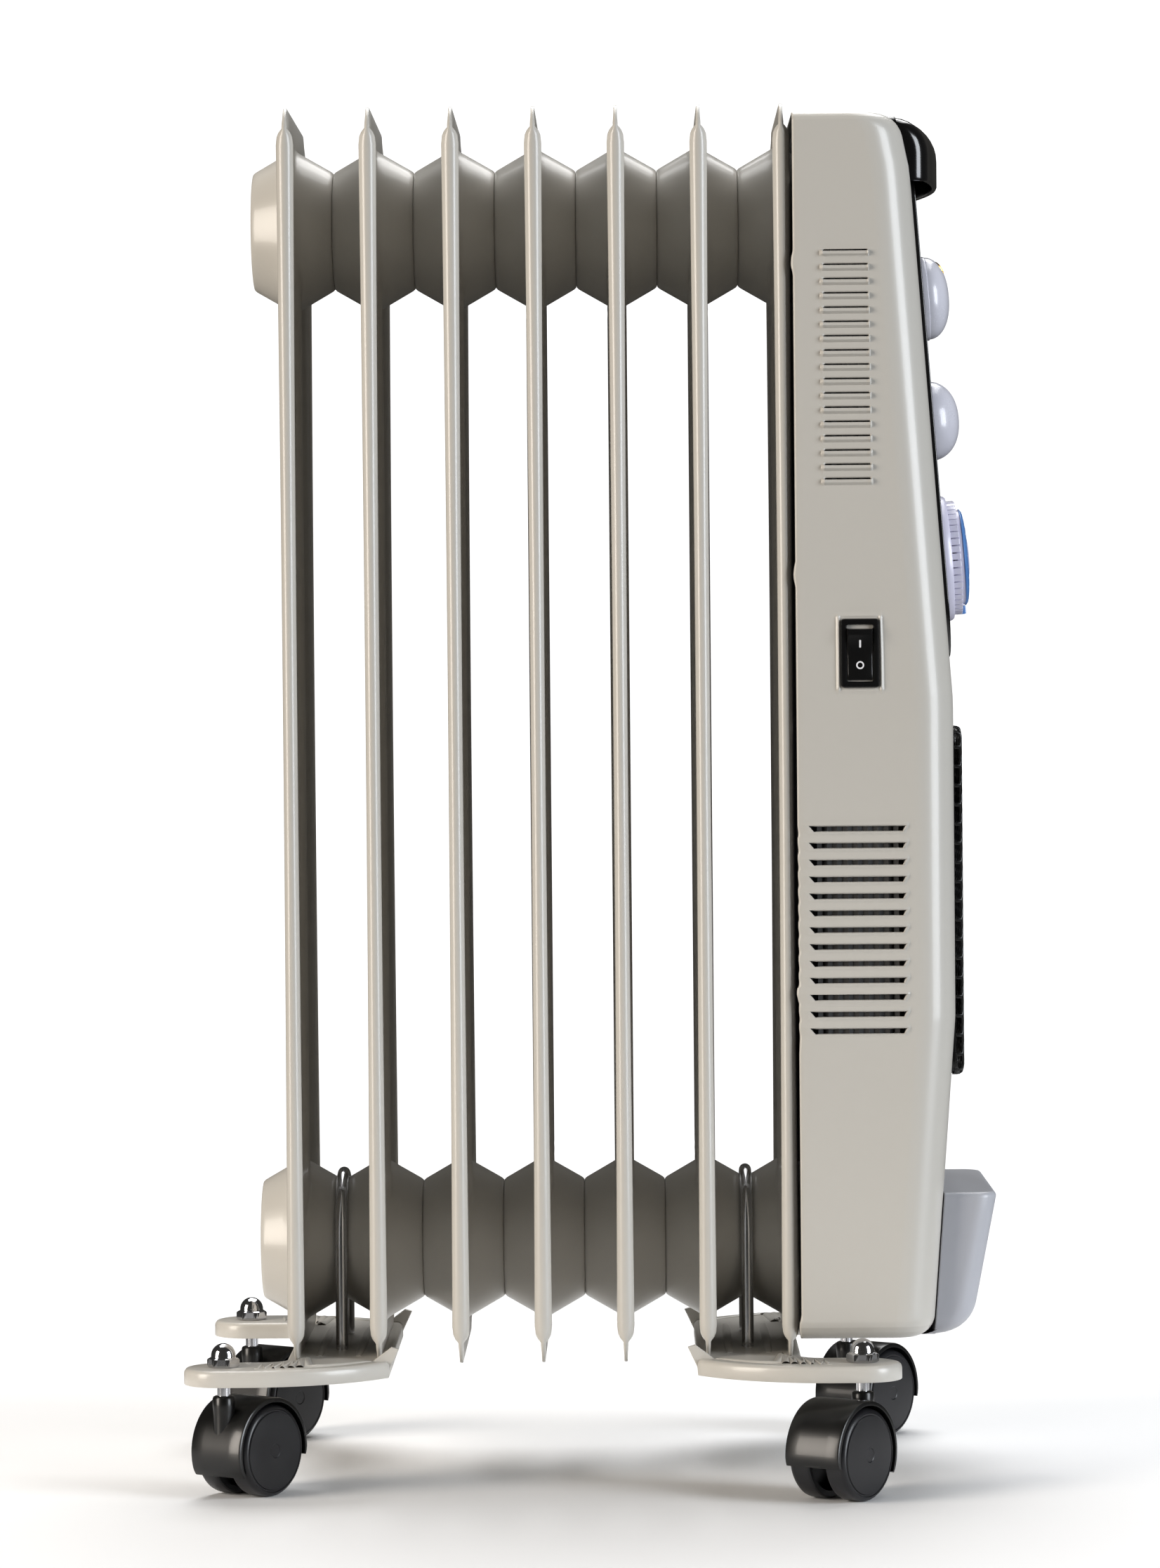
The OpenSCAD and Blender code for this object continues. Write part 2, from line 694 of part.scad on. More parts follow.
module fan_motor() {
    color(steel) translate([blower_x, 0, blower_z]) rotate([-90, 0, 0]) difference() {
        union() {
            translate([0, 0, motor_y]) cylinder(20, r = 15);
            for (a = [30, 150, 270]) rotate([0, 0, a]) translate([10, -3, motor_y + 1]) cube([blower_r - 7, 6, 1.5]);
            for (a = [30, 150, 270]) rotate([0, 0, a]) translate([blower_r, -3, blower_l / 2 + 4.7])
                cube([3, 6, motor_y - blower_l / 2 - 3.4]);
        }
        translate([0, 0, motor_y - 1]) cylinder(19, r = shaft_r + run_gap);
    }
}

// ---- Front box ----

module front_box() {
    z1 = box_h;
    front = case_d + box_out;
    back_z1 = case_foot_d + (case_d - case_foot_d) * z1 / belly_lo;
    module side(g, back) {
        polygon(outline([[case_foot_d + 0.3 - back, g, 0], [front - 13 - g, g, 16 - g], [front - g, z1 - g, 3 - g],
            [back_z1 + 0.3 - back, z1 - g, 0]], 5));
    }
    module plan(g) {
        w = box_w / 2 - g;
        polygon(outline([[case_foot_d - 9, -w, 0], [front - g, -w, 10 - g], [front - g, w, 10 - g], [case_foot_d - 9, w, 0]]));
    }
    color(enamel) translate([case_x0, 0, case_z0]) difference() {
        intersection() {
            along_y(box_w + 2) side(0, 0);
            translate([0, 0, -1]) linear_extrude(box_h + 2) plan(0);
        }
        intersection() {
            along_y(box_w) side(box_t, 4);
            translate([0, 0, 1]) linear_extrude(box_h) plan(box_t);
        }
    }
}

// ---- Small inner parts ----

tip_x = case_x0 + 44;
tip_z = case_z0 + 120;

module tip_over_housing() {
    color("#efeee8") translate([tip_x, 40, tip_z]) difference() {
        translate([-9, -13, -17]) cube([18, 26, 30]);
        translate([-7.4, -11.4, -15.4]) cube([14.8, 22.8, 26.8]);
        translate([-10, 0, 6]) rotate([0, 90, 0]) cylinder(20, r = 1.2 + run_gap);
    }
}

module tip_over_pendulum() {
    color("#8a6a3a") translate([tip_x, 40, tip_z + 6]) {
        translate([-8.6, 0, 0]) rotate([0, 90, 0]) cylinder(17.2, r = 1.2);
        translate([-1.5, -1, -13]) cube([3, 2, 13]);
        translate([-4, 0, -14]) rotate([0, 90, 0]) cylinder(8, r = 4.5);
    }
}

module terminal_block() {
    color("#f1efe6") translate([case_x0 + 12, -67, case_z0 + 70]) difference() {
        cube([14, 12, 42]);
        for (i = [0:3]) translate([7, 6, 6 + i * 10]) rotate([0, 90, 0]) cylinder(10, r = 2.6);
    }
}

module cord_gland() {
    bore = 3.6;
    color(black) translate([gland_x, case_w / 2, gland_z]) rotate([-90, 0, 0]) difference() {
        union() {
            translate([0, 0, -case_t - 8]) cylinder(case_t + 8.2, r = gland_r);
            translate([0, 0, 0.05]) cylinder(3, r = gland_r + 3);
            translate([0, 0, 3]) cylinder(9, r1 = gland_r, r2 = 6);
            translate([0, 0, -case_t - 4]) cylinder(4 - slip, r = gland_r + 2.5, $fn = 6);
        }
        translate([0, 0, -case_t - 20]) cylinder(60, r = bore);
    }
}

// Insulated leads from the terminal block up to the switches
module wiring_loom() {
    x = case_x0 + 19;
    z0 = case_z0 + 112.4;
    z1 = case_z0 + case_h - 80;
    color("#8c3b2e") for (i = [0:2]) {
        y = -64 + i * 4.4;
        translate([x, y, z0]) cylinder(z1 - z0 - i * 30, r = 1.8);
        translate([x, y, z1 - i * 30]) sphere(1.8);
        translate([x, y, z1 - i * 30]) rotate([0, 90, 0]) cylinder(9, r = 1.8);
    }
}

// ---- Feet ----

// Plan of a foot, u outwards from its clamp and v across, moved inwards by g
body_u = fin_pitch / 2 + 5;
inner_u = -fin_pitch / 2 - 5;
edge_u = stud_reach - 11;
edge_v = track / 2 + tip_r;
waist_v = fin_d / 2 + 5;
sweep_r = ((edge_u - inner_u) * (edge_u - inner_u) + (edge_v - waist_v) * (edge_v - waist_v)) / (2 * (edge_v - waist_v));

function foot_half(g) =
    let (stud_v = track / 2, notch = 10, end_a = acos((inner_u + g - edge_u) / (sweep_r - g)))
    concat([for (a = [180:-15:90]) [body_u + notch, stud_v - tip_r - notch] + (notch + g) * [cos(a), sin(a)]],
        [for (a = [-90:15:90]) [stud_reach, stud_v] + (tip_r - g) * [cos(a), sin(a)]],
        [for (k = [0:12]) let (a = 90 + (end_a - 90) * k / 12) [edge_u, edge_v - sweep_r] + (sweep_r - g) * [cos(a), sin(a)]]);

module foot_plan(g) {
    half = foot_half(g);
    n = len(half);
    polygon(concat(half, [for (i = [n - 1:-1:0]) [half[i].x, -half[i].y]]));
}

clamp_v = boss_joint_r + clamp_rod_r + 0.2;

// A foot with u along +X, to be mirrored for the rear
module foot_plate() {
    slot_v = fin_d / 2 - fin_corner_r + sqrt(fin_corner_r * fin_corner_r - pow(fin_corner_r - fin_sink, 2)) + 1;
    color(enamel) difference() {
        union() {
            difference() {
                translate([0, 0, foot_z0]) linear_extrude(rim_h) foot_plan(0);
                translate([0, 0, foot_z0 - 1]) linear_extrude(rim_h - foot_t + 1) foot_plan(foot_t);
            }
            for (side = [-1, 1]) translate([0, side * (waist_v - 3), foot_z0])
                along_y(foot_t) polygon([[inner_u + 1, 0], [inner_u - 8, 2.3], [inner_u - 10.4, rim_h + 4],
                    [inner_u - 5, rim_h + 5.5], [inner_u + 1, rim_h]]);
        }
        for (u = [-1, 1]) translate([u * fin_pitch / 2 - sheet - slip, -slot_v, foot_z0 - 5])
            cube([2 * (sheet + slip), 2 * slot_v, 30]);
        for (side = [-1, 1]) {
            translate([0, side * clamp_v, foot_z0 - 1]) cylinder(20, r = clamp_rod_r + slip);
            translate([stud_reach, side * track / 2, foot_z0 - 1]) cylinder(20, r = 4.1);
        }
    }
}

module rear_side() {
    translate([rear_clamp_x, 0, 0]) mirror([1, 0, 0]) children();
}

module front_side() {
    translate([front_clamp_x, 0, 0]) children();
}

module foot_plate_rear() {
    rear_side() foot_plate();
}

module foot_plate_front() {
    front_side() foot_plate();
}

// U shaped rod over the lower oil passage, down through a foot
module clamp() {
    leg_z0 = foot_z0 - 1;
    color(steel) {
        translate([0, 0, low_z]) rotate([90, 0, 90]) rotate_extrude(angle = 180) translate([clamp_v, 0]) circle(clamp_rod_r);
        for (side = [-1, 1]) translate([0, side * clamp_v, leg_z0]) cylinder(low_z - leg_z0, r = clamp_rod_r);
    }
}

module clamp_rear() {
    rear_side() clamp();
}

module clamp_front() {
    front_side() clamp();
}

module clamp_nut() {
    difference() {
        union() {
            cylinder(4.4, r = 5.5);
            for (side = [-1, 1]) translate([side > 0 ? 3.5 : -12, -1, 0.6]) cube([8.5, 2, 3.8]);
        }
        translate([0, 0, -1]) cylinder(10, r = clamp_rod_r + run_gap);
    }
}

module clamp_nuts() {
    z = foot_z1 - foot_t - 4.5;
    color(steel) for (side = [-1, 1]) {
        rear_side() translate([0, side * clamp_v, z]) clamp_nut();
        front_side() translate([0, side * clamp_v, z]) clamp_nut();
    }
}

module at_studs() {
    for (side = [-1, 1]) {
        rear_side() translate([stud_reach, side * track / 2, 0]) children();
        front_side() translate([stud_reach, side * track / 2, 0]) children();
    }
}

nut_hex_h = 4.2;

module cap_nuts() {
    dome_r = nut_af - 0.9;
    color(steel) at_studs() translate([0, 0, foot_z1 + 0.05]) difference() {
        union() {
            cylinder(nut_hex_h, r = nut_af / cos(30), $fn = 6);
            cylinder(nut_hex_h + 1, r = dome_r);
            translate([0, 0, nut_hex_h + 1]) sphere(dome_r);
        }
        translate([0, 0, -dome_r]) cylinder(dome_r + 7, r = 4 + run_gap);
    }
}

stud_z0 = neck_top - 11;

module caster_studs() {
    color(steel) at_studs() {
        translate([0, 0, stud_z0]) cylinder(foot_z0 - stud_z0 - 0.6, r = stud_r);
        translate([0, 0, foot_z0 - 0.6]) cylinder(rim_h + 7, r = 4);
    }
}

// ---- Casters: local x is the trailing direction, y the axle ----

hood_r = wheel_r + hood_gap + hood_t;

module caster_hood() {
    low = -14;
    neck_r = 5.1;
    neck_z0 = wheel_r + sqrt(wheel_r * wheel_r - pow(trail - neck_r, 2)) + 0.7;
    fender_w = web_t + 2 * wheel_w - 1;
    module fan_shape(r) {
        intersection() {
            circle(r);
            polygon([[0, 0], 60 * [cos(low), sin(low)], [60, 60], [-60, 60], 60 * [-cos(low), sin(low)]]);
        }
    }
    difference() {
        union() {
            translate([trail, 0, wheel_r]) along_y(fender_w) difference() {
                fan_shape(hood_r);
                circle(hood_r - hood_t);
            }
            translate([trail, 0, wheel_r]) along_y(web_t) fan_shape(hood_r - 0.4);
            translate([trail, 0, wheel_r]) along_y(web_t) circle(axle_r + 4);
            translate([0, 0, wheel_r + 6]) cylinder(12, r = web_t / 2 - 0.05);
            translate([0, 0, neck_z0]) cylinder(neck_top - neck_z0, r = neck_r);
        }
        translate([0, 0, stud_z0 - 0.4]) cylinder(40, r = stud_r + run_gap);
        translate([trail, 0, wheel_r]) along_y(60) circle(axle_r + 0.02);
    }
}

module caster_axle() {
    translate([trail, 0, wheel_r]) rotate([90, 0, 0]) cylinder(web_t + 2 * wheel_w - 4, r = axle_r, center = true);
}

// side is +1 or -1 along the axle
module caster_wheel(side) {
    start = web_t / 2 + 0.5;
    cap = 2.4;
    translate([trail, 0, wheel_r]) rotate([side > 0 ? -90 : 90, 0, 0]) translate([0, 0, start]) difference() {
        rotate_extrude() polygon(concat([[0, 0]], outline([[wheel_r - 0.4, 0, 0], [wheel_r, 1, 0],
            [wheel_r, wheel_w - 2, 0], [wheel_r - 2, wheel_w, 0], [0, wheel_w, 0]])));
        translate([0, 0, -1]) cylinder(wheel_w - 1.4, r = axle_r + run_gap);
        translate([0, 0, -1]) difference() {
            cylinder(wheel_w - cap + 1 - 1, r = wheel_r - 3.4);
            cylinder(wheel_w, r = axle_r + 3);
        }
    }
}

// Yaw of each caster's trailing direction: rear left and right, front left and right
yaw_rl = 54;
yaw_rr = 54;
yaw_fl = 234;
yaw_fr = 54;

// Rear is the far end of the radiator, left is -Y
module caster_at(front, side, yaw) {
    x = front ? front_clamp_x + stud_reach : rear_clamp_x - stud_reach;
    translate([x, side * track / 2, 0]) rotate([0, 0, yaw]) children();
}

fin_at(1);  // fin_1
fin_at(2);  // fin_2
fin_at(3);  // fin_3
fin_at(4);  // fin_4
fin_at(5);  // fin_5
fin_at(6);  // fin_6
fin_at(7);  // fin_7
heating_element();
oil_filler_plug();
thermal_cutout();
back_plate();
control_casing();
fascia_panel();
carry_handle();
power_switch();
power_knob();
thermostat();
thermostat_knob();
timer_base();
timer_dial();
timer_tabs();
timer_cap();
timer_override();
rocker_housing();
rocker_paddle();
fan_grille();
ptc_heater();
blower_housing();
blower_wheel();
fan_motor();
front_box();
tip_over_housing();
tip_over_pendulum();
terminal_block();
cord_gland();
casing_screws();
wiring_loom();
foot_plate_rear();
foot_plate_front();
clamp_rear();
clamp_front();
clamp_nuts();
cap_nuts();
caster_studs();
color(black) caster_at(false, -1, yaw_rl) caster_hood();  // caster_hood_rl
color(black) caster_at(false, 1, yaw_rr) caster_hood();  // caster_hood_rr
color(black) caster_at(true, -1, yaw_fl) caster_hood();  // caster_hood_fl
color(black) caster_at(true, 1, yaw_fr) caster_hood();  // caster_hood_fr
color(steel) caster_at(false, -1, yaw_rl) caster_axle();  // axle_rl
color(steel) caster_at(false, 1, yaw_rr) caster_axle();  // axle_rr
color(steel) caster_at(true, -1, yaw_fl) caster_axle();  // axle_fl
color(steel) caster_at(true, 1, yaw_fr) caster_axle();  // axle_fr
color(black) caster_at(false, -1, yaw_rl) caster_wheel(1);  // wheel_rl_in
color(black) caster_at(false, -1, yaw_rl) caster_wheel(-1);  // wheel_rl_out
color(black) caster_at(false, 1, yaw_rr) caster_wheel(1);  // wheel_rr_in
color(black) caster_at(false, 1, yaw_rr) caster_wheel(-1);  // wheel_rr_out
color(black) caster_at(true, -1, yaw_fl) caster_wheel(1);  // wheel_fl_in
color(black) caster_at(true, -1, yaw_fl) caster_wheel(-1);  // wheel_fl_out
color(black) caster_at(true, 1, yaw_fr) caster_wheel(1);  // wheel_fr_in
color(black) caster_at(true, 1, yaw_fr) caster_wheel(-1);  // wheel_fr_out
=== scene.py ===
import json
import math
import bpy
import bmesh
from mathutils import Matrix, Vector


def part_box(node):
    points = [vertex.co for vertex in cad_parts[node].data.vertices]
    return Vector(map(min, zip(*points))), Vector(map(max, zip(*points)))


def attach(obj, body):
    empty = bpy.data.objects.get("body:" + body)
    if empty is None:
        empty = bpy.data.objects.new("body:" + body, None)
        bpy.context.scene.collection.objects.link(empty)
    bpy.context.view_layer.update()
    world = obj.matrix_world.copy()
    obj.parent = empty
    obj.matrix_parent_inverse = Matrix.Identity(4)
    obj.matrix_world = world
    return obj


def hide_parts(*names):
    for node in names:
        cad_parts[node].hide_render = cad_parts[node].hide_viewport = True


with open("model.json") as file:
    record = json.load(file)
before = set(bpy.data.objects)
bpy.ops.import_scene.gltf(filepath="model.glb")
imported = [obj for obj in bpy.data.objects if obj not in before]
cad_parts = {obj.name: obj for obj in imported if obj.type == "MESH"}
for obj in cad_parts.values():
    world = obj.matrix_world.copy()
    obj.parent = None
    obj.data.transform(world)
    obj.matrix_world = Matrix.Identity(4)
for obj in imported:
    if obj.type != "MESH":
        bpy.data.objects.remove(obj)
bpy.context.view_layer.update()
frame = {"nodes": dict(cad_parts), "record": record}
print("frame loaded:", len(frame["nodes"]), "nodes")


# Everything below is drawn in millimetres and scaled to metres when its mesh is made
def nodeBox(node):
    low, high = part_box(node)
    return low * 1000, high * 1000


# Camera, floor and light

cameraValues = {
    "place": (0.018105, -2.6018896, 0.37058),
    "turn": (88.9687, -0.518, -0.512),
    "lens": 126.31,
}


def makeCamera(values):
    data = bpy.data.cameras.new("camera")
    data.sensor_width = 36
    data.lens = values["lens"]
    data.clip_start, data.clip_end = 0.05, 60
    camera = bpy.data.objects.new("camera", data)
    yaw, pitch, roll = (math.radians(a) for a in (values["turn"][2], 90 - values["turn"][0], values["turn"][1]))
    right = Vector((math.cos(yaw), -math.sin(yaw), 0))
    ahead = Vector((math.cos(pitch) * math.sin(yaw), math.cos(pitch) * math.cos(yaw), -math.sin(pitch)))
    up = right.cross(ahead)
    across = right * math.cos(roll) + up * math.sin(roll)
    upward = up * math.cos(roll) - right * math.sin(roll)
    axes = Matrix((across, upward, -ahead)).transposed().to_4x4()
    camera.matrix_world = Matrix.Translation(values["place"]) @ axes
    bpy.context.scene.collection.objects.link(camera)
    bpy.context.scene.camera = camera


lightValues = {
    "worldSeen": (1.0, 1.0, 1.0),
    "worldLight": (0.06, 0.058, 0.054),
    "softboxes": [
        # name, place, aim, size, watts, colour
        ("left_softbox", (-2.6, -1.5, 0.95), (0, 0, 0.32), (1.3, 2.2), 92, (1.0, 0.93, 0.85)),
        ("right_softbox", (2.6, -1.5, 0.95), (0, 0, 0.32), (1.3, 2.2), 88, (0.91, 0.95, 1.0)),
        ("top_softbox", (0.0, 0.7, 2.4), (0, 0, 0.2), (2.2, 1.4), 34, (1.0, 1.0, 1.0)),
        ("back_softbox", (0.2, 1.9, 2.3), (0, 0, 0.3), (1.8, 0.9), 20, (1.0, 1.0, 1.0)),
    ],
}


def makeLights(values):
    world = bpy.data.worlds.new("studio")
    bpy.context.scene.world = world
    world.use_nodes = True
    nodes, links = world.node_tree.nodes, world.node_tree.links
    nodes.clear()
    path = nodes.new("ShaderNodeLightPath")
    seen, light = nodes.new("ShaderNodeBackground"), nodes.new("ShaderNodeBackground")
    seen.inputs[0].default_value = (*values["worldSeen"], 1)
    light.inputs[0].default_value = (*values["worldLight"], 1)
    mix, out = nodes.new("ShaderNodeMixShader"), nodes.new("ShaderNodeOutputWorld")
    links.new(path.outputs["Is Camera Ray"], mix.inputs[0])
    links.new(light.outputs[0], mix.inputs[1])
    links.new(seen.outputs[0], mix.inputs[2])
    links.new(mix.outputs[0], out.inputs[0])
    for name, place, aim, size, watts, colour in values["softboxes"]:
        data = bpy.data.lights.new(name, "AREA")
        data.shape, data.size, data.size_y = "RECTANGLE", size[0], size[1]
        data.energy, data.color = watts, colour
        lamp = bpy.data.objects.new(name, data)
        lamp.location = place
        lamp.rotation_euler = (Vector(aim) - Vector(place)).to_track_quat("-Z", "Y").to_euler()
        bpy.context.scene.collection.objects.link(lamp)


makeCamera(cameraValues)
makeLights(lightValues)
display = bpy.context.scene.view_settings
display.view_transform, display.gamma, display.exposure = "Standard", 0.87, 0.16
print("camera and lights made")


# Materials

class Wire:
    def __init__(self, shader, socket):
        self.shader, self.socket = shader, socket

    def math(self, operation, other, flip=False):
        first, second = (other, self) if flip else (self, other)
        return self.shader.node("ShaderNodeMath", {"operation": operation}, {0: first, 1: second})

    def __add__(self, other): return self.math("ADD", other)
    def __radd__(self, other): return self.math("ADD", other, True)
    def __rsub__(self, other): return self.math("SUBTRACT", other, True)
    def __mul__(self, other): return self.math("MULTIPLY", other)
    def __rmul__(self, other): return self.math("MULTIPLY", other, True)


class Shader:
    def __init__(self, name):
        self.material = bpy.data.materials.new(name)
        self.material.use_nodes = True
        self.tree = self.material.node_tree
        self.surface = self.tree.nodes["Principled BSDF"]

    # A node of any type: its settings first, then the values or wires of its sockets
    def node(self, kind, settings=None, sockets=None, out=0):
        made = self.tree.nodes.new(kind)
        for name, value in (settings or {}).items():
            setattr(made, name, value)
        for name, value in (sockets or {}).items():
            self.join(value, made.inputs[name])
        return Wire(self, made.outputs[out])

    def join(self, value, socket):
        if isinstance(value, Wire):
            self.tree.links.new(value.socket, socket)
        elif socket.type == "RGBA" and len(value) == 3:
            socket.default_value = (*value, 1)
        else:
            socket.default_value = value

    def set(self, **values):
        for name, value in values.items():
            spaced = "".join(" " + c if c.isupper() else c for c in name).strip().title()
            self.join(value, self.surface.inputs[spaced])

    def place(self):
        return self.node("ShaderNodeTexCoord", out="Object")

    def noise(self, scale, detail=3.0, roughness=0.5):
        return self.node("ShaderNodeTexNoise", {}, {"Vector": self.place(), "Scale": scale, "Detail": detail,
                                                    "Roughness": roughness}, "Fac")

    def limits(self, value, low, high):
        return self.node("ShaderNodeMapRange", {"clamp": True}, {0: value, 1: low, 2: high, 3: 0.0, 4: 1.0})

    def mix(self, amount, first, second):
        return self.node("ShaderNodeMix", {"data_type": "RGBA"}, {0: amount, 6: first, 7: second}, 2)

    def bump(self, height, distance, strength):
        return self.node("ShaderNodeBump", {}, {"Height": height, "Distance": distance, "Strength": strength})


# sRGB 0-255 to a linear colour
def tone(red, green, blue):
    return tuple(c / 12.92 if c <= 0.04045 else ((c + 0.055) / 1.055) ** 2.4
                 for c in (red / 255, green / 255, blue / 255))


# colour, second colour, patch size, roughness range, metallic, coat, grain scale and depth in mm
finishes = {
    "enamel": (tone(191, 188, 182), tone(187, 184, 177), 3, (0.3, 0.36), 0, 0.16, 420, 0.0006),
    "tray_grey": (tone(176, 177, 182), tone(170, 171, 177), 7, (0.34, 0.44), 0, 0.1, 900, 0.02),
    "gloss_black": (tone(18, 18, 19), tone(24, 23, 23), 12, (0.14, 0.26), 0, 0.3, 500, 0.008),
    "satin_black": (tone(16, 16, 16), tone(21, 21, 20), 20, (0.26, 0.38), 0, 0.15, 1400, 0.01),
    "wheel_black": (tone(25, 25, 28), tone(34, 34, 37), 45, (0.3, 0.44), 0, 0.1, 900, 0.012),
    "knob_grey": (tone(205, 205, 213), tone(198, 198, 207), 14, (0.22, 0.32), 0, 0.25, 700, 0.008),
    "timer_lavender": (tone(214, 212, 228), tone(207, 206, 224), 18, (0.26, 0.36), 0, 0.15, 800, 0.01),
    "timer_blue": (tone(92, 135, 190), tone(82, 124, 180), 40, (0.28, 0.4), 0, 0.1, 900, 0.01),
    "chrome": (tone(214, 215, 218), tone(200, 200, 203), 60, (0.08, 0.16), 1, 0.0, 600, 0.001),
    "inner_steel": (tone(178, 180, 182), tone(150, 152, 155), 90, (0.28, 0.5), 1, 0.0, 1200, 0.02),
    "back_black": (tone(38, 38, 39), tone(46, 45, 44), 9, (0.45, 0.6), 0, 0.0, 1100, 0.03),
    "heater_aluminium": (tone(190, 192, 196), tone(160, 162, 168), 140, (0.3, 0.48), 1, 0.0, 1500, 0.02),
    "duct_black": (tone(36, 36, 38), tone(44, 44, 46), 16, (0.4, 0.55), 0, 0.0, 1000, 0.03),
    "switch_cream": (tone(232, 226, 212), tone(222, 215, 200), 25, (0.35, 0.5), 0, 0.0, 1000, 0.02),
    "cutout_brown": (tone(66, 54, 44), tone(52, 42, 36), 40, (0.3, 0.45), 0, 0.1, 900, 0.02),
    "brass": (tone(206, 170, 96), tone(176, 138, 70), 70, (0.18, 0.34), 1, 0.0, 800, 0.01),
    "lead_red": (tone(148, 52, 40), tone(120, 40, 32), 60, (0.4, 0.55), 0, 0.0, 900, 0.03),
    "print_white": (tone(226, 226, 228), tone(210, 210, 214), 60, (0.4, 0.55), 0, 0.0, 900, 0.004),
}


def makeFinish(name, values):
    colour, second, patch, gloss, metallic, coat, grain, depth = values
    shader = Shader(name)
    cloud = shader.noise(patch, 4, 0.55)
    fine = shader.noise(grain, 2, 0.6)
    blotch = shader.limits(cloud, 0.35, 0.65)
    shader.set(BaseColor=shader.mix(blotch * 0.6 + fine * 0.15, colour, second), Metallic=metallic, CoatWeight=coat,
               CoatRoughness=0.08, Roughness=gloss[0] + (gloss[1] - gloss[0]) * (blotch * 0.6 + fine * 0.4),
               Normal=shader.bump(fine + cloud * 0.5, depth / 1000, 0.6))
    return shader.material


materials = {name: makeFinish(name, values) for name, values in finishes.items()}
print("materials made:", len(materials))

floorValues = {
    "colour": tone(250, 250, 250), "second": tone(242, 242, 243), "radius": 0.8, "clear": 0.22, "roughness": 0.6,
}


def makeFloor(values):
    shader = Shader("floor_paint")
    shade = shader.limits(shader.noise(2.5), 0.3, 0.7)
    shader.set(BaseColor=shader.mix(shade * 0.3, values["colour"], values["second"]), Roughness=values["roughness"])
    away = shader.node("ShaderNodeVectorMath", {"operation": "LENGTH"}, {0: shader.place()}, "Value")
    shader.set(Alpha=1 - shader.node("ShaderNodeMapRange", {"interpolation_type": "SMOOTHSTEP"},
                                     {0: away, 1: values["clear"], 2: values["radius"] * 0.97}))
    mesh = bpy.data.meshes.new("floor")
    ring = [math.radians(5 * k) for k in range(72)]
    edge = [(values["radius"] * math.cos(a), values["radius"] * math.sin(a), 0) for a in ring]
    mesh.from_pydata(edge, [], [tuple(range(len(edge)))])
    mesh.materials.append(shader.material)
    floor = bpy.data.objects.new("floor", mesh)
    bpy.context.scene.collection.objects.link(floor)


makeFloor(floorValues)

# The inner and hidden parts keep their engineering shape and take a finish
for node, obj in frame["nodes"].items():
    slotName = next(s["material_slot"] for s in frame["record"]["subparts"] if s["node"] == node)
    obj.data.materials.clear()
    obj.data.materials.append(materials[slotName])


# Mesh tools

class Shape:
    def __init__(self):
        self.points, self.faces = [], []

    def add(self, points, faces, place=None):
        start = len(self.points)
        self.points += [place @ Vector(p) if place else Vector(p) for p in points]
        self.faces += [tuple(start + i for i in face) for face in faces]

    # Rows of points joined into quads; wrap closes each row, ends fills the first and last row
    def grid(self, rows, wrap=False, ends=False, place=None, skip=None):
        wide = len(rows[0])
        faces = [(i * wide + j, i * wide + (j + 1) % wide, (i + 1) * wide + (j + 1) % wide, (i + 1) * wide + j)
                 for i in range(len(rows) - 1) for j in range(wide if wrap else wide - 1)
                 if not (skip and skip(i, j))]
        if ends:
            faces += [tuple(range(wide))[::-1], tuple((len(rows) - 1) * wide + j for j in range(wide))]
        self.add([p for row in rows for p in row], faces, place)

    # Turns (radius, height) points round the local z axis
    def lathe(self, profile, steps=48, place=None, turn=360, start=0):
        whole = abs(turn) >= 360
        angles = [math.radians(start + turn * k / steps) for k in range(steps if whole else steps + 1)]
        rows = [[(r * math.cos(a), r * math.sin(a), h) for a in angles] for r, h in profile]
        self.grid(rows, wrap=whole, place=place)

    # Loops of (x, y) at heights, closed at both ends
    def stack(self, layers, place=None):
        self.grid([[(x, y, z) for x, y in loop] for loop, z in layers], wrap=True, ends=True, place=place)

    # Makes the mesh object, rides it on its body and gives its slot the finish
    def piece(self, name, finish, body="root", replaces=(), angle=35, modifiers=()):
        mesh = bpy.data.meshes.new(name)
        mesh.from_pydata([tuple(p / 1000) for p in self.points], [], self.faces)
        shell = bmesh.new()
        shell.from_mesh(mesh)
        bmesh.ops.remove_doubles(shell, verts=shell.verts, dist=2e-6)
        bmesh.ops.dissolve_degenerate(shell, edges=shell.edges, dist=1e-7)
        bmesh.ops.recalc_face_normals(shell, faces=shell.faces)
        shell.to_mesh(mesh)
        shell.free()
        mesh.materials.append(materials[finish])
        mesh.shade_smooth()
        mesh.set_sharp_from_angle(angle=math.radians(angle))
        obj = bpy.data.objects.new(name, mesh)
        bpy.context.scene.collection.objects.link(obj)
        for kind, values in modifiers:
            modifier = obj.modifiers.new(kind.lower(), kind)
            for key, value in values.items():
                setattr(modifier, key, value)
        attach(obj, body)
        if replaces:
            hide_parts(*replaces)
        return obj


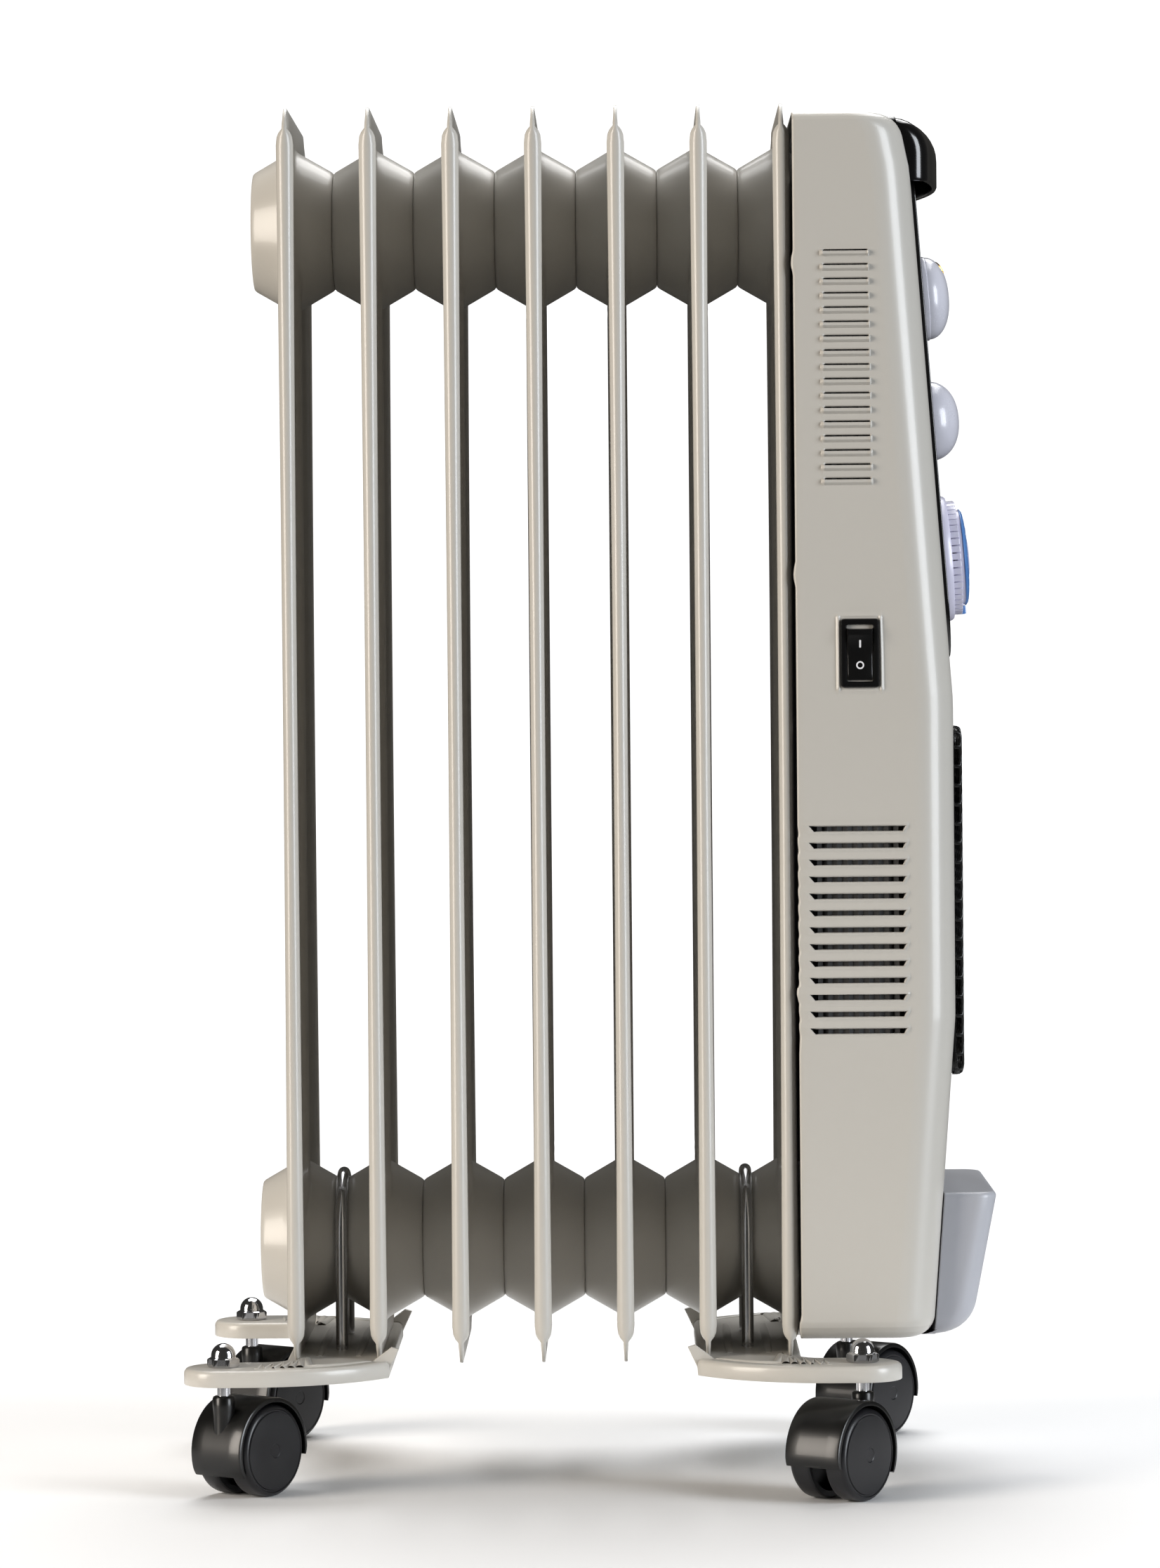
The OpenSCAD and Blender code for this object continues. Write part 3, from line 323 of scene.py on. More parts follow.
# Rounds the corners of a line of (x, y, radius) points
def softened(corners, steps=5, closed=False):
    line = []
    count = len(corners)
    for i, (x, y, radius) in enumerate(corners):
        here = Vector((x, y))
        if radius == 0 or (not closed and i in (0, count - 1)):
            line.append(here)
            continue
        before, after = corners[i - 1], corners[(i + 1) % count]
        back = (Vector(before[:2]) - here).normalized()
        ahead = (Vector(after[:2]) - here).normalized()
        half = math.acos(max(-1, min(1, back.dot(ahead)))) / 2
        middle = here + (back + ahead).normalized() * radius / math.sin(half)
        first, last = here + back * radius / math.tan(half), here + ahead * radius / math.tan(half)
        a, b = (first - middle), (last - middle)
        turn = math.atan2(a.x * b.y - a.y * b.x, a.dot(b))
        for k in range(steps + 1):
            spin = Matrix.Rotation(turn * k / steps, 2)
            line.append(middle + spin @ a)
    return line


# A point at a distance and an angle in degrees from x, y
def polar(radius, degrees, x=0, y=0):
    angle = math.radians(degrees)
    return x + radius * math.cos(angle), y + radius * math.sin(angle)


def rectangle(width, height, radius, steps=4):
    x, y = width / 2, height / 2
    return softened([(-x, -y, radius), (x, -y, radius), (x, y, radius), (-x, y, radius)], steps, closed=True)


# Moves a closed loop inwards by a distance
def shrunk(loop, distance):
    inner = []
    for i, point in enumerate(loop):
        along = (loop[(i + 1) % len(loop)] - loop[i - 1]).normalized()
        inner.append(point + Vector((-along.y, along.x)) * distance)
    return inner


def softMax(a, b, reach):
    return max(a, b) + max(reach - abs(a - b), 0) ** 2 / (4 * reach)


def softMin(a, b, reach):
    return -softMax(-a, -b, reach)


def between(value, low, high):
    return max(low, min(high, value))


def smoothStep(value, low, high):
    t = between((value - low) / (high - low), 0, 1)
    return t * t * (3 - 2 * t)


def turned(axis, degrees):
    return Matrix.Rotation(math.radians(degrees), 4, axis)


def moved(x, y, z):
    return Matrix.Translation((x, y, z))


# Fins

finValues = {
    "sheet": 0.8, "cornerRadius": 14, "beadRadius": 4.1, "beadWaist": 3.3, "beadInset": 10,
    "manifoldInset": 52, "bossRoot": 38, "bossSlope": 1.74, "bossFlat": 25.6, "bossSoft": 1.5, "taper": 7,
    "flange": 1.15, "bossRings": (40.4, 39.2, 38.2, 37, 35.4, 33.4, 31.4, 29.8, 28.8, 28, 27.2, 26.4),
    "channelWidth": 30, "channelRise": 4.5, "channelSpacing": 52, "patchHalf": 44,
}


# How far the sheet reaches sideways at a height, with its round corners
def sheetEdge(values, height, depth, z):
    corner, end = values["cornerRadius"], min(z, height - z)
    return depth / 2 if end >= corner else depth / 2 + math.sqrt(corner ** 2 - (corner - end) ** 2) - corner


# How far the sheet is pressed out at y, z
def finHeight(values, height, depth, reach, y, z):
    edge = sheetEdge(values, height, depth, z)
    end = min(z, height - z)
    inset = max(0, edge - abs(y))
    rise = values["sheet"] * min(1, math.sqrt(min(inset, end) / 0.4))
    # the rolled bead along each upright edge
    radius = values["beadRadius"]
    middle = abs(z / height - 0.5) * 2
    wide = values["beadWaist"] + (radius - values["beadWaist"]) * middle ** 2
    wide *= 0.72 + 0.28 * smoothStep(end, values["beadInset"], values["beadInset"] + values["taper"])
    if end < 14:
        tip = values["flange"] * min(1, end / 9) ** 0.55 * (1 - smoothStep(inset, 3, 9))
        rise = max(rise, tip * min(1, math.sqrt(inset / 0.8)))
    cap = between((end - values["beadInset"]) / radius, 0, 1)
    crown = 1 - ((inset - radius) / radius) ** 2
    if crown > 0 and cap > 0:
        rise = max(rise, wide * math.sqrt(crown) * math.sqrt(1 - (1 - cap) ** 2))
    # the upright oil channels
    lens = (values["channelWidth"] ** 2 / 4 + values["channelRise"] ** 2) / (2 * values["channelRise"])
    off = abs(abs(y) - values["channelSpacing"] / 2)
    if off < lens and values["manifoldInset"] < z < height - values["manifoldInset"]:
        channel = math.sqrt(lens ** 2 - off ** 2) - lens + values["channelRise"]
        rise = softMax(rise, channel, 1.2) if channel > -3 else rise
    # the two bosses
    for centre in (values["manifoldInset"], height - values["manifoldInset"]):
        away = math.hypot(y, z - centre)
        cone = values["sheet"] + (values["bossRoot"] - away) * values["bossSlope"]
        if cone > -6:
            rise = softMax(rise, softMin(cone, reach, values["bossSoft"]), 2.4)
    return min(rise, reach)


def finRows(values, height):
    start, patch = [0, 0.3, 1, 2, 3.5, 5.5], values["manifoldInset"] - values["patchHalf"]
    inside = [patch, 9.2, 10, 10.3, 11, 12.2, 14.1]
    top = patch + 2 * values["patchHalf"]
    count = 22
    inside += [14.1 + (top - 14.1) * (k + 1) / count for k in range(count)]
    middle = [top + (height - 2 * top) * (k + 1) / 14 for k in range(13)]
    return start, inside, middle


def buildFin(values, index):
    low, high = nodeBox("fin_%d" % index)
    height, depth = high.z - low.z, high.y - low.y
    reach, x0 = (high.x - low.x) / 2, (high.x + low.x) / 2
    start, inside, middle = finRows(values, height)
    rows = start + inside + middle + [height - z for z in reversed(inside)] + [height - z for z in reversed(start)]
    patchLow = range(len(start), len(start) + len(inside))
    patchHigh = range(len(rows) - len(start) - len(inside), len(rows) - len(start))
    offsets = [0, 0.15, 0.6, 1.3, 2.3, 3.4, 4.1, 4.8, 5.9, 6.9, 7.6, 8.05, 8.3]
    fixed = [62, 56, 50]
    half, steps = values["patchHalf"], 24
    inner = [-half + 2 * half * k / steps for k in range(steps + 1)]
    sideCount = len(offsets) + len(fixed)

    def columns(z):
        edge = max(sheetEdge(values, height, depth, z), 62.4)
        side = [edge - d * between((edge - 62.2) / (depth / 2 - 62.2), 0, 1) for d in offsets] + fixed
        return [-y for y in side] + inner + side[::-1]

    shape = Shape()
    for sign in (-1, 1):
        def point(y, z):
            rise = finHeight(values, height, depth, reach, y, z)
            if z in (0, height) or rise < 1e-4:
                rise = 0
            return (x0 + sign * rise, y, low.z + z)

        table = [columns(z) for z in rows]
        grid = [[point(y, z) for y in line] for line, z in zip(table, rows)]
        for row, z in zip(grid, rows):
            row[0] = (x0, row[0][1], row[0][2])
            row[-1] = (x0, row[-1][1], row[-1][2])
        first, last = sideCount, sideCount + steps

        def inPatch(i, j):
            return first <= j < last and any(r[0] <= i < r[-1] for r in (patchLow, patchHigh))

        shape.grid(grid, skip=inPatch)
        for rowsIn in (patchLow, patchHigh):
            centre = values["manifoldInset"] if rowsIn is patchLow else height - values["manifoldInset"]
            border = [(inner[k], rows[rowsIn[0]]) for k in range(steps)]
            border += [(inner[-1], rows[i]) for i in rowsIn[:-1]]
            border += [(inner[k], rows[rowsIn[-1]]) for k in range(steps, 0, -1)]
            border += [(inner[0], rows[i]) for i in reversed(rowsIn[1:])]
            rings = [border]
            steady = [(1, radius) for radius in (*values["bossRings"], values["bossFlat"])]
            for share, radius in [(0.5, 42.2), (1, 42.2)] + steady:
                ring = []
                for y, z in border:
                    angle = math.atan2(z - centre, y)
                    ring.append((y + (radius * math.cos(angle) - y) * share,
                                 z + (centre + radius * math.sin(angle) - z) * share))
                rings.append(ring)
            rings.append([(0, centre)] * len(border))
            shape.grid([[point(y, z) for y, z in ring] for ring in rings], wrap=True)
    shape.piece("fin_sheet_%d" % index, "enamel", replaces=["fin_%d" % index], angle=50)


for index in range(1, 1 + sum(node.startswith("fin_") for node in frame["nodes"])):
    buildFin(finValues, index)
print("fins made")


# Control casing

caseLow, caseHigh = nodeBox("control_casing")
caseValues = {
    # the front's side outline from the casing's back and bottom: x, z, radius
    "front": [(61.6, -1, 0), (61.6, 0, 0), (72.8, 148, 60), (72.8, 294, 60), (54.7, 538, 30), (49.3, 564, 0),
              (49.3, 565, 0)],
    "cornerRadius": 18, "bottomRound": 10, "topRound": 4.6, "frontTopRound": 10, "wall": 1.2,
    "louvreX": 27.7, "louvreHalf": 22.2, "louvreZ": 140.8, "louvreStep": 7.75, "louvreSlot": 3, "louvreCount": 13,
    "louvreTaper": (2.5, 1.5), "ventX": 24.6, "ventHalf": 11.3, "ventZ": 395.8, "ventStep": 6.54, "ventCount": 17,
    "ventSlot": 0.7, "pocket": (29.3, 315.8, 9.9, 17.2), "tabs": (6, 159.4, 352.2, 495),
    "grille": (200.8, 75, 47),
    # columns right of the pivot close up as the front slopes back, from ventTop up too
    "pivots": (34, 12), "ventTop": 505.8,
}
caseHeight = caseHigh.z - caseLow.z
caseHalf = (caseHigh.y - caseLow.y) / 2
outline = softened(caseValues["front"], 8)


def frontAt(z):
    for a, b in zip(outline, outline[1:]):
        if a.y <= z <= b.y and b.y > a.y:
            return a.x + (b.x - a.x) * (z - a.y) / (b.y - a.y)
    return outline[-1].x


def roundIn(distance, radius):
    return 0 if distance >= radius else radius - math.sqrt(max(0, radius ** 2 - (radius - distance) ** 2))


# How far the side wall is pressed out at x, z
def sidePress(values, x, z):
    rise = 0
    k = round((z - values["louvreZ"] - 1.5) / values["louvreStep"])
    if 0 <= k < values["louvreCount"]:
        bottom = values["louvreZ"] + k * values["louvreStep"]
        top = bottom + values["louvreSlot"]
        out = abs(x - values["louvreX"]) - values["louvreHalf"]
        side = 1 - smoothStep(out, 0, 1.3)
        above = 1.0 * (1 - smoothStep(z, top, top + 2.0)) if z >= top else 0
        below = 0.6 * (1 - smoothStep(bottom - z, 0, 1.3)) if z <= bottom else 0
        inside = 0.6 + 0.4 * (z - bottom) / values["louvreSlot"] if bottom < z < top else 0
        rise = max(rise, side * max(above, below, inside))
    k = round((z - values["ventZ"] + 1) / values["ventStep"])
    if 0 <= k < values["ventCount"]:
        top = values["ventZ"] + k * values["ventStep"] + values["ventSlot"] / 2
        out = abs(x - values["ventX"]) - values["ventHalf"]
        side = 1 - smoothStep(out, -0.3, 1.2)
        bulge = 1 + 0.35 * smoothStep(out, -2.4, -0.6)
        if z < top:
            rise = max(rise, 1.3 * bulge * side * (1 - smoothStep(top - z, 1.9, 3.3)))
    px, pz, halfW, halfH = values["pocket"]
    dx, dz = abs(x - px), abs(z - pz)
    if dx < halfW + 3 and dz < halfH + 4:
        ridge = 0.8 * (1 - smoothStep(abs(dx - halfW), 0.2, 1.2)) * (1 - smoothStep(dz, halfH - 1, halfH + 1.5))
        bar = 0.5 * (1 - smoothStep(abs(dz - halfH), 0.2, 1.0)) * (1 - smoothStep(dx, halfW - 3, halfW - 1))
        rise = max(rise, ridge, bar)
    return rise


def buildCasing(values):
    topZ = caseHeight
    # columns of points along the depth, closer where the pressings start and end
    lines = [0, 0.8, 2.2, 5, 7.7, 8.4, 9, 10, 10.8, 11.4, 12, 13, 14.5, 17, 18.2, 19, 19.6, 20.4, 23, 26, 29.3, 31,
             32, 32.6, 33.2, 35.5, 38.2, 39, 39.6, 40.4, 44, 48, 50, 51, 51.6, 52.3]
    ends = [values["ventX"] + s * (values["ventHalf"] + d) for s in (-1, 1) for d in (-2.2, -1.1, -0.3, 0.5, 1.2)]
    lines = sorted([x for x in lines if all(abs(x - e) > 0.35 for e in ends)] + ends)
    zs = {0, topZ}
    zs |= {values["bottomRound"] * (1 - math.cos(math.radians(90 * k / 7))) for k in range(1, 8)}
    zs |= {topZ - values["frontTopRound"] * (1 - math.cos(math.radians(90 * k / 7))) for k in range(1, 8)}
    zs |= {topZ - values["topRound"] * (1 - math.cos(math.radians(90 * k / 6))) for k in range(1, 7)}
    zs |= {12 + 8 * k for k in range(16)} | {260, 275, 290, 296, 350, 365, 380} | {520, 530, 540, 548}
    louvreRows, ventRows = [], []
    for k in range(values["louvreCount"]):
        z = values["louvreZ"] + k * values["louvreStep"]
        louvreRows.append((z, z + values["louvreSlot"]))
        top = z + values["louvreSlot"]
        zs |= {z - 1.3, z - 0.6, z, top, top + 0.7, top + 2}
    for k in range(values["ventCount"]):
        z = values["ventZ"] + k * values["ventStep"] + values["ventSlot"] / 2
        ventRows.append((z - values["ventSlot"], z))
        zs |= {z, z - values["ventSlot"], z - 1.3, z - 2.1, z - 3.3, z + 0.8}
    px, pz, halfW, halfH = values["pocket"]
    zs |= {pz + s * (halfH + d) for s in (-1, 1) for d in (-1.2, -0.2, 0.2, 1.2, 2.2)} | {pz - 10, pz, pz + 10}
    gz, gh, gw = values["grille"]
    zs |= {gz - gh, gz + gh}
    for z in values["tabs"]:
        zs |= {z - 6, z - 3, z, z + 3, z + 6}
    zs = sorted(z for z in zs if 0 <= z <= topZ)
    zs = [z for i, z in enumerate(zs) if i == 0 or z - zs[i - 1] > 1e-4]
    cornerSteps, front = 8, [-48 + 12 * k for k in range(9)]
    front[0], front[-1] = -gw, gw

    def ring(z):
        inset = roundIn(z, values["bottomRound"]) + roundIn(topZ - z, values["topRound"])
        half = caseHalf - inset
        xf = frontAt(z) - roundIn(z, values["bottomRound"]) - roundIn(topZ - z, values["frontTopRound"])
        radius = max(4, values["cornerRadius"] - inset * 0.9)
        start = xf - radius
        pivot = values["pivots"][0] if z < values["ventTop"] else values["pivots"][1]
        squeeze = between((start - 1.2 - pivot) / (lines[-1] - pivot), 0.05, 1)
        # the lower louvres' ends slant
        k = next((i for i, (a, b) in enumerate(louvreRows) if a - 1.4 < z < b + 2.1), None)
        slant = 0 if k is None else between((louvreRows[k][1] - z) / values["louvreSlot"], 0, 1)
        tab = max([1 - smoothStep(abs(z - t), 1, 6) for t in values["tabs"]])
        side = []
        for x in lines:
            leftEnd, rightEnd = values["louvreX"] - values["louvreHalf"], values["louvreX"] + values["louvreHalf"]
            dx = slant * values["louvreTaper"][0] * (1 - smoothStep(abs(x - leftEnd), 0.2, 7))
            dx -= slant * values["louvreTaper"][1] * (1 - smoothStep(abs(x - rightEnd), 0.2, 7))
            place = x if x <= pivot else pivot + (x - pivot) * squeeze
            back = tab * (1 - smoothStep(x, 0, 2)) * 0.9
            side.append((place + dx - back, half + sidePress(values, x, z) - 0.5 * (1 - smoothStep(x, 0, 1.6))))
        points = [(x, -y) for x, y in side]
        for s in (-1, 1):
            arc = [(start + radius * math.cos(a), s * (half - radius) + radius * math.sin(a)) for a in
                   [math.radians(-90 + 90 * k / cornerSteps) if s < 0 else math.radians(90 * k / cornerSteps)
                    for k in range(cornerSteps + 1)]]
            if s < 0:
                points += arc + [(xf, y) for y in front]
            else:
                points += arc
        points += [(x, y) for x, y in reversed(side)]
        return [(caseLow.x + x, y, caseLow.z + z) for x, y in points]

    count = len(lines)
    frontStart = count + cornerSteps + 1
    total = 2 * frontStart + len(front)

    def isHole(i, j):
        low, high = zs[i], zs[i + 1]
        mid = (low + high) / 2
        k = j if j < count else total - 2 - j
        if 0 <= k < count - 1:
            x = (lines[k] + lines[k + 1]) / 2
            if abs(x - values["louvreX"]) < values["louvreHalf"] and any(a < mid < b for a, b in louvreRows):
                return True
            if abs(x - values["ventX"]) < values["ventHalf"] - 0.5 and any(a < mid < b for a, b in ventRows):
                return True
        return frontStart <= j < frontStart + len(front) - 1 and abs(mid - gz) < gh

    rows = [ring(z) for z in zs]
    shape = Shape()
    shape.grid(rows, skip=isHole)
    for edge in (rows[0], rows[-1]):
        pairs = [(edge[k], edge[-1 - k]) for k in range(len(edge) // 2)]
        shape.grid([[a.lerp(b, t) for t in (0, 0.25, 0.5, 0.75, 1)] for a, b in
                    ((Vector(p), Vector(q)) for p, q in pairs)])
    shape.piece("casing_shell", "enamel", replaces=["control_casing"], angle=38, modifiers=[
        ("SOLIDIFY", {"thickness": values["wall"] / 1000, "offset": -1, "use_rim": True}),
        ("WEIGHTED_NORMAL", {"keep_sharp": True})])


buildCasing(caseValues)
print("casing made")

# Loops of (x, y) at heights turn to face +X: their x runs along Y and their y along Z
faceOut = Matrix(((0, 0, 1, 0), (1, 0, 0, 0), (0, 1, 0, 0), (0, 0, 0, 1)))
faceRight = turned("X", -90)
caseFoot, caseBelly, slopeFoot, slopeTop, caseTop = (Vector(p[:2]) for p in caseValues["front"][1:6])
slopeAngle = math.degrees(math.atan((slopeFoot.x - slopeTop.x) / (slopeTop.y - slopeFoot.y)))


# A place on the slope, s up from its lower end, with x along its outward normal
def onSlope(s, out=0):
    return (moved(caseLow.x + slopeFoot.x, 0, caseLow.z + slopeFoot.y)
            @ turned("Y", -slopeAngle) @ moved(out, 0, s))


# Fascia

fasciaValues = {
    "width": 104, "length": 224, "up": 19.5, "thick": 2.4, "seat": 1.6, "footRadius": 30, "topRadius": 12,
    "groove": 3.2, "powerAt": 189.2, "thermostatAt": 131.5, "timerAt": 66.3,
}


def buildFascia(values):
    half, long = values["width"] / 2, values["length"]
    foot, head = values["footRadius"], values["topRadius"]
    loop = softened([(-half, 0, foot), (half, 0, foot), (half, long, head), (-half, long, head)], 8, True)
    thick, groove = values["thick"], values["groove"]
    shape = Shape()
    layers = [(4, -3), (4, 0.02), (0, 0.05), (0, thick - 0.55), (0.2, thick - 0.2), (0.7, thick), (groove, thick),
              (groove + 0.35, thick - 0.4), (groove + 0.7, thick - 0.4), (groove + 1.05, thick - 0.05)]
    shape.stack([(shrunk(loop, inset), z) for inset, z in layers], onSlope(values["up"]) @ faceOut)
    shape.piece("fascia_panel_front", "gloss_black", replaces=["fascia_panel"])
    # a dot scale round each knob, and a wedge that widens with the heat
    marks = Shape()
    scales = ((values["powerAt"], 25, -120, 120, 5), (values["thermostatAt"], 24, -135, 135, 10))
    for at, radius, first, last, count in scales:
        for k in range(count):
            x, y = polar(radius, 90 + first + (last - first) * k / (count - 1))
            size = 0.9 + (0.9 * k / count if count > 5 else 0.3)
            dot = [Vector(polar(size, 30 * n, x, y)) for n in range(12)]
            marks.stack([(dot, 0), (dot, 0.06), (shrunk(dot, 0.1), 0.1)], onSlope(at, thick - 0.08) @ faceOut)
    for k in range(24):
        angle = math.radians(k * 15)
        length = 2.6 if k % 6 == 0 else 1.4
        middle = Vector((math.cos(angle), math.sin(angle))) * (33 + length / 2)
        bar = [middle + Matrix.Rotation(angle, 2) @ Vector(p) for p in
               ((-length / 2, -0.3), (length / 2, -0.3), (length / 2, 0.3), (-length / 2, 0.3))]
        marks.stack([(bar, 0), (bar, 0.1)], onSlope(values["timerAt"], thick - 0.08) @ faceOut)
    marks.piece("fascia_scale_marks", "print_white")


buildFascia(fasciaValues)

# Knobs

powerKnobValues = {"radius": 19.8, "collar": 4.8, "height": 15.4, "mark": 12, "markFinish": "brass"}
thermostatKnobValues = {"radius": 18.8, "collar": 1.4, "height": 15.4, "mark": -80, "markFinish": "brass"}


def buildKnob(values, name, at, body):
    place = onSlope(at, fasciaValues["seat"]) @ faceOut
    radius, collar, height = values["radius"], values["collar"], values["height"]
    lip = 0.5 if collar > 2 else 0.1
    profile = [(0, -12), (3, -12), (3, 0.4), (radius - 0.8, 0.4), (radius - 0.2, 0.7), (radius, 1.1),
               (radius, collar - 0.3), (radius - 0.1, collar), (radius - lip, collar + 0.25)]

    def dome(share):
        angle = math.radians(90 * share)
        return ((radius - lip) * math.cos(angle) ** 0.86, collar + 0.25 + (height - collar - 0.25) * math.sin(angle))

    profile += [dome(k / 16) for k in range(1, 16)] + [(0, height)]
    shape = Shape()
    shape.lathe(profile, 72, place)
    shape.piece(name, "knob_grey", body, [body], angle=28)
    # the pointer inlaid over the dome's shoulder
    mark = Shape()
    rows = []
    for k in range(9):
        share = 0.34 + 0.3 * k / 8
        r, h = dome(share)
        r2, h2 = dome(share + 0.01)
        along = Vector((r2 - r, h2 - h)).normalized()
        rise = Vector((-along.y, along.x)) * -0.5 * math.sin(math.pi * between(k / 8, 0.04, 0.96)) ** 0.4
        wide = 1.3 * math.sin(math.pi * between(k / 8, 0.06, 0.94)) ** 0.5
        rows.append([(r - 0.3 * rise.x, -wide, h - 0.3 * rise.y), (r + rise.x * 0.8, -wide * 0.8, h + rise.y * 0.8),
                     (r + rise.x, 0, h + rise.y), (r + rise.x * 0.8, wide * 0.8, h + rise.y * 0.8),
                     (r - 0.3 * rise.x, wide, h - 0.3 * rise.y)])
    mark.grid(rows, wrap=True, ends=True, place=place @ turned("Z", 90 + values["mark"]))
    mark.piece(name + "_pointer", values["markFinish"], body)


buildKnob(powerKnobValues, "heat_selector_knob", fasciaValues["powerAt"], "power_knob")
buildKnob(thermostatKnobValues, "thermostat_dome_knob", fasciaValues["thermostatAt"], "thermostat_knob")

# Timer

timerValues = {
    "radius": 30, "rim": 4.7, "tabInner": 22.7, "tabOuter": 26.8, "tabs": 48, "dialRadius": 22.3, "dome": 4,
    "raisedTab": 36,
}


def buildTimer(values):
    place = onSlope(fasciaValues["timerAt"], fasciaValues["seat"] + 0.8) @ faceOut
    radius, rim = values["radius"], values["rim"]
    base = Shape()
    outside = [(radius - 0.3, 0.05), (radius, 0.4), (radius - 0.2, 2.2), (radius - 0.8, 3.9), (radius - 1.4, rim),
               (radius - 2.2, rim + 0.05), (radius - 2.6, rim - 0.4), (radius - 2.7, 3.4)]
    post = [(5, 3.4), (5, rim), (2.4, rim), (2.4, 11.9), (0, 11.9)]
    base.lathe([(0, 0.05)] + outside + post, 96, place)
    base.piece("timer_bezel", "timer_lavender", replaces=["timer_base"])
    tabs = Shape()
    raised = Shape()
    inner, outer = values["tabInner"], values["tabOuter"]
    for k in range(values["tabs"]):
        pushed = k == values["raisedTab"]
        low, high = (6.2, 10.6) if pushed else (4.1, 8.8)
        halfIn, halfOut = inner * math.pi / values["tabs"] * 0.84, outer * math.pi / values["tabs"] * 0.84
        loop = [Vector(p) for p in ((inner, -halfIn), (outer, -halfOut), (outer, halfOut), (inner, halfIn))]
        turn = place @ turned("Z", 360 * k / values["tabs"])
        (raised if pushed else tabs).stack([(loop, low), (loop, high - 0.6), (shrunk(loop, 0.25), high - 0.15),
                                            (shrunk(loop, 0.5), high)], turn)
    tabs.piece("timer_tab_ring", "timer_lavender", "timer_dial", ["timer_tabs"], angle=30)
    raised.piece("timer_set_tab", "timer_blue", "timer_dial", angle=30)
    dialRadius = values["dialRadius"]
    dial = Shape()
    rimLine = [(2.6, 7), (dialRadius - 0.4, 7), (dialRadius, 7.4), (dialRadius, 10.6), (2.6, 10.6), (2.6, 7)]
    dial.lathe(rimLine, 96, place)
    dial.piece("timer_dial_rim", "timer_lavender", "timer_dial", ["timer_dial"])
    face = Shape()
    dome = values["dome"]
    profile = [(2.6, 10.4), (dialRadius + 0.1, 10.4), (dialRadius + 0.4, 10.7), (dialRadius + 0.3, 11)]
    for k in range(1, 13):
        r = (dialRadius + 0.3) * (1 - k / 12) + 9.6 * k / 12
        profile.append((r, 11 + dome * (1 - (1 - k / 12) ** 2) ** 0.5 * 0.5))
    face.lathe(profile + [(9.6, 12.0), (2.6, 12.0), (2.6, 10.4)], 96, place)
    face.piece("timer_dial_face", "timer_blue", "timer_dial")
    hours = Shape()
    for k in range(24):
        long = 2.4 if k % 6 == 0 else 1.3
        bar = [Vector(p) for p in ((20.6 - long, -0.22), (20.6, -0.22), (20.6, 0.22), (20.6 - long, 0.22))]
        hours.stack([(bar, 10.9), (bar, 12.2)], place @ turned("Z", 15 * k))
    hours.piece("timer_hour_marks", "print_white", "timer_dial")
    cap = Shape()
    cap.lathe([(0, 11.9), (8.8, 11.9), (9, 12.2), (9, 13.1), (8.4, 13.6), (7, 13.8), (0, 13.8)], 64, place)
    arrow = [Vector(p) for p in ((13.4, 0), (8.2, 2.2), (8.2, -2.2))][::-1]
    cap.stack([(arrow, 12.0), (arrow, 13.1), (shrunk(arrow, 0.3), 13.4)], place @ turned("Z", 90))
    cap.piece("timer_pointer_cap", "timer_lavender", replaces=["timer_cap"])
    slide = Shape()
    key = rectangle(3.8, 3.4, 0.7)
    slide.stack([(key, -4.5), (key, 3.5), (shrunk(key, 0.3), 4.0), (shrunk(key, 0.8), 4.2)],
                onSlope(fasciaValues["timerAt"] - radius - 6.7) @ moved(0, -1.9, 0) @ faceOut)
    slide.piece("timer_override_key", "timer_blue", "timer_override", ["timer_override"])


buildTimer(timerValues)
print("fascia, knobs and timer made")

# Carrying handle

handleValues = {
    "slope": 0.074, "sunk": 1.2, "bow": 6.5, "raised": 3, "wall": 2.6, "frontRound": 17, "cornerRadius": 9,
    "sideRound": 5,
}


# A row of points from the back left round the front to the back right
def hoop(backX, frontX, half, radius, bow, z, across=8, steps=7):
    cornerX = frontX - bow
    points = [(backX + (cornerX - radius - backX) * k / across, -half) for k in range(across)]
    for side in (-1, 1):
        centre = Vector((cornerX - radius, side * (half - radius)))
        first = -90 if side < 0 else 0
        points += [(centre.x + radius * math.cos(a), centre.y + radius * math.sin(a)) for a in
                   (math.radians(first + 90 * k / steps) for k in range(steps + 1))]
        if side < 0:
            spots = [-1 + 2 * k / 12 for k in range(1, 12)]
            points += [(cornerX + bow * (1 - t * t), t * (half - radius)) for t in spots]
    points += [(backX + (cornerX - radius - backX) * k / across, half) for k in range(across - 1, -1, -1)]
    return [Vector((x, y, z)) for x, y in points]


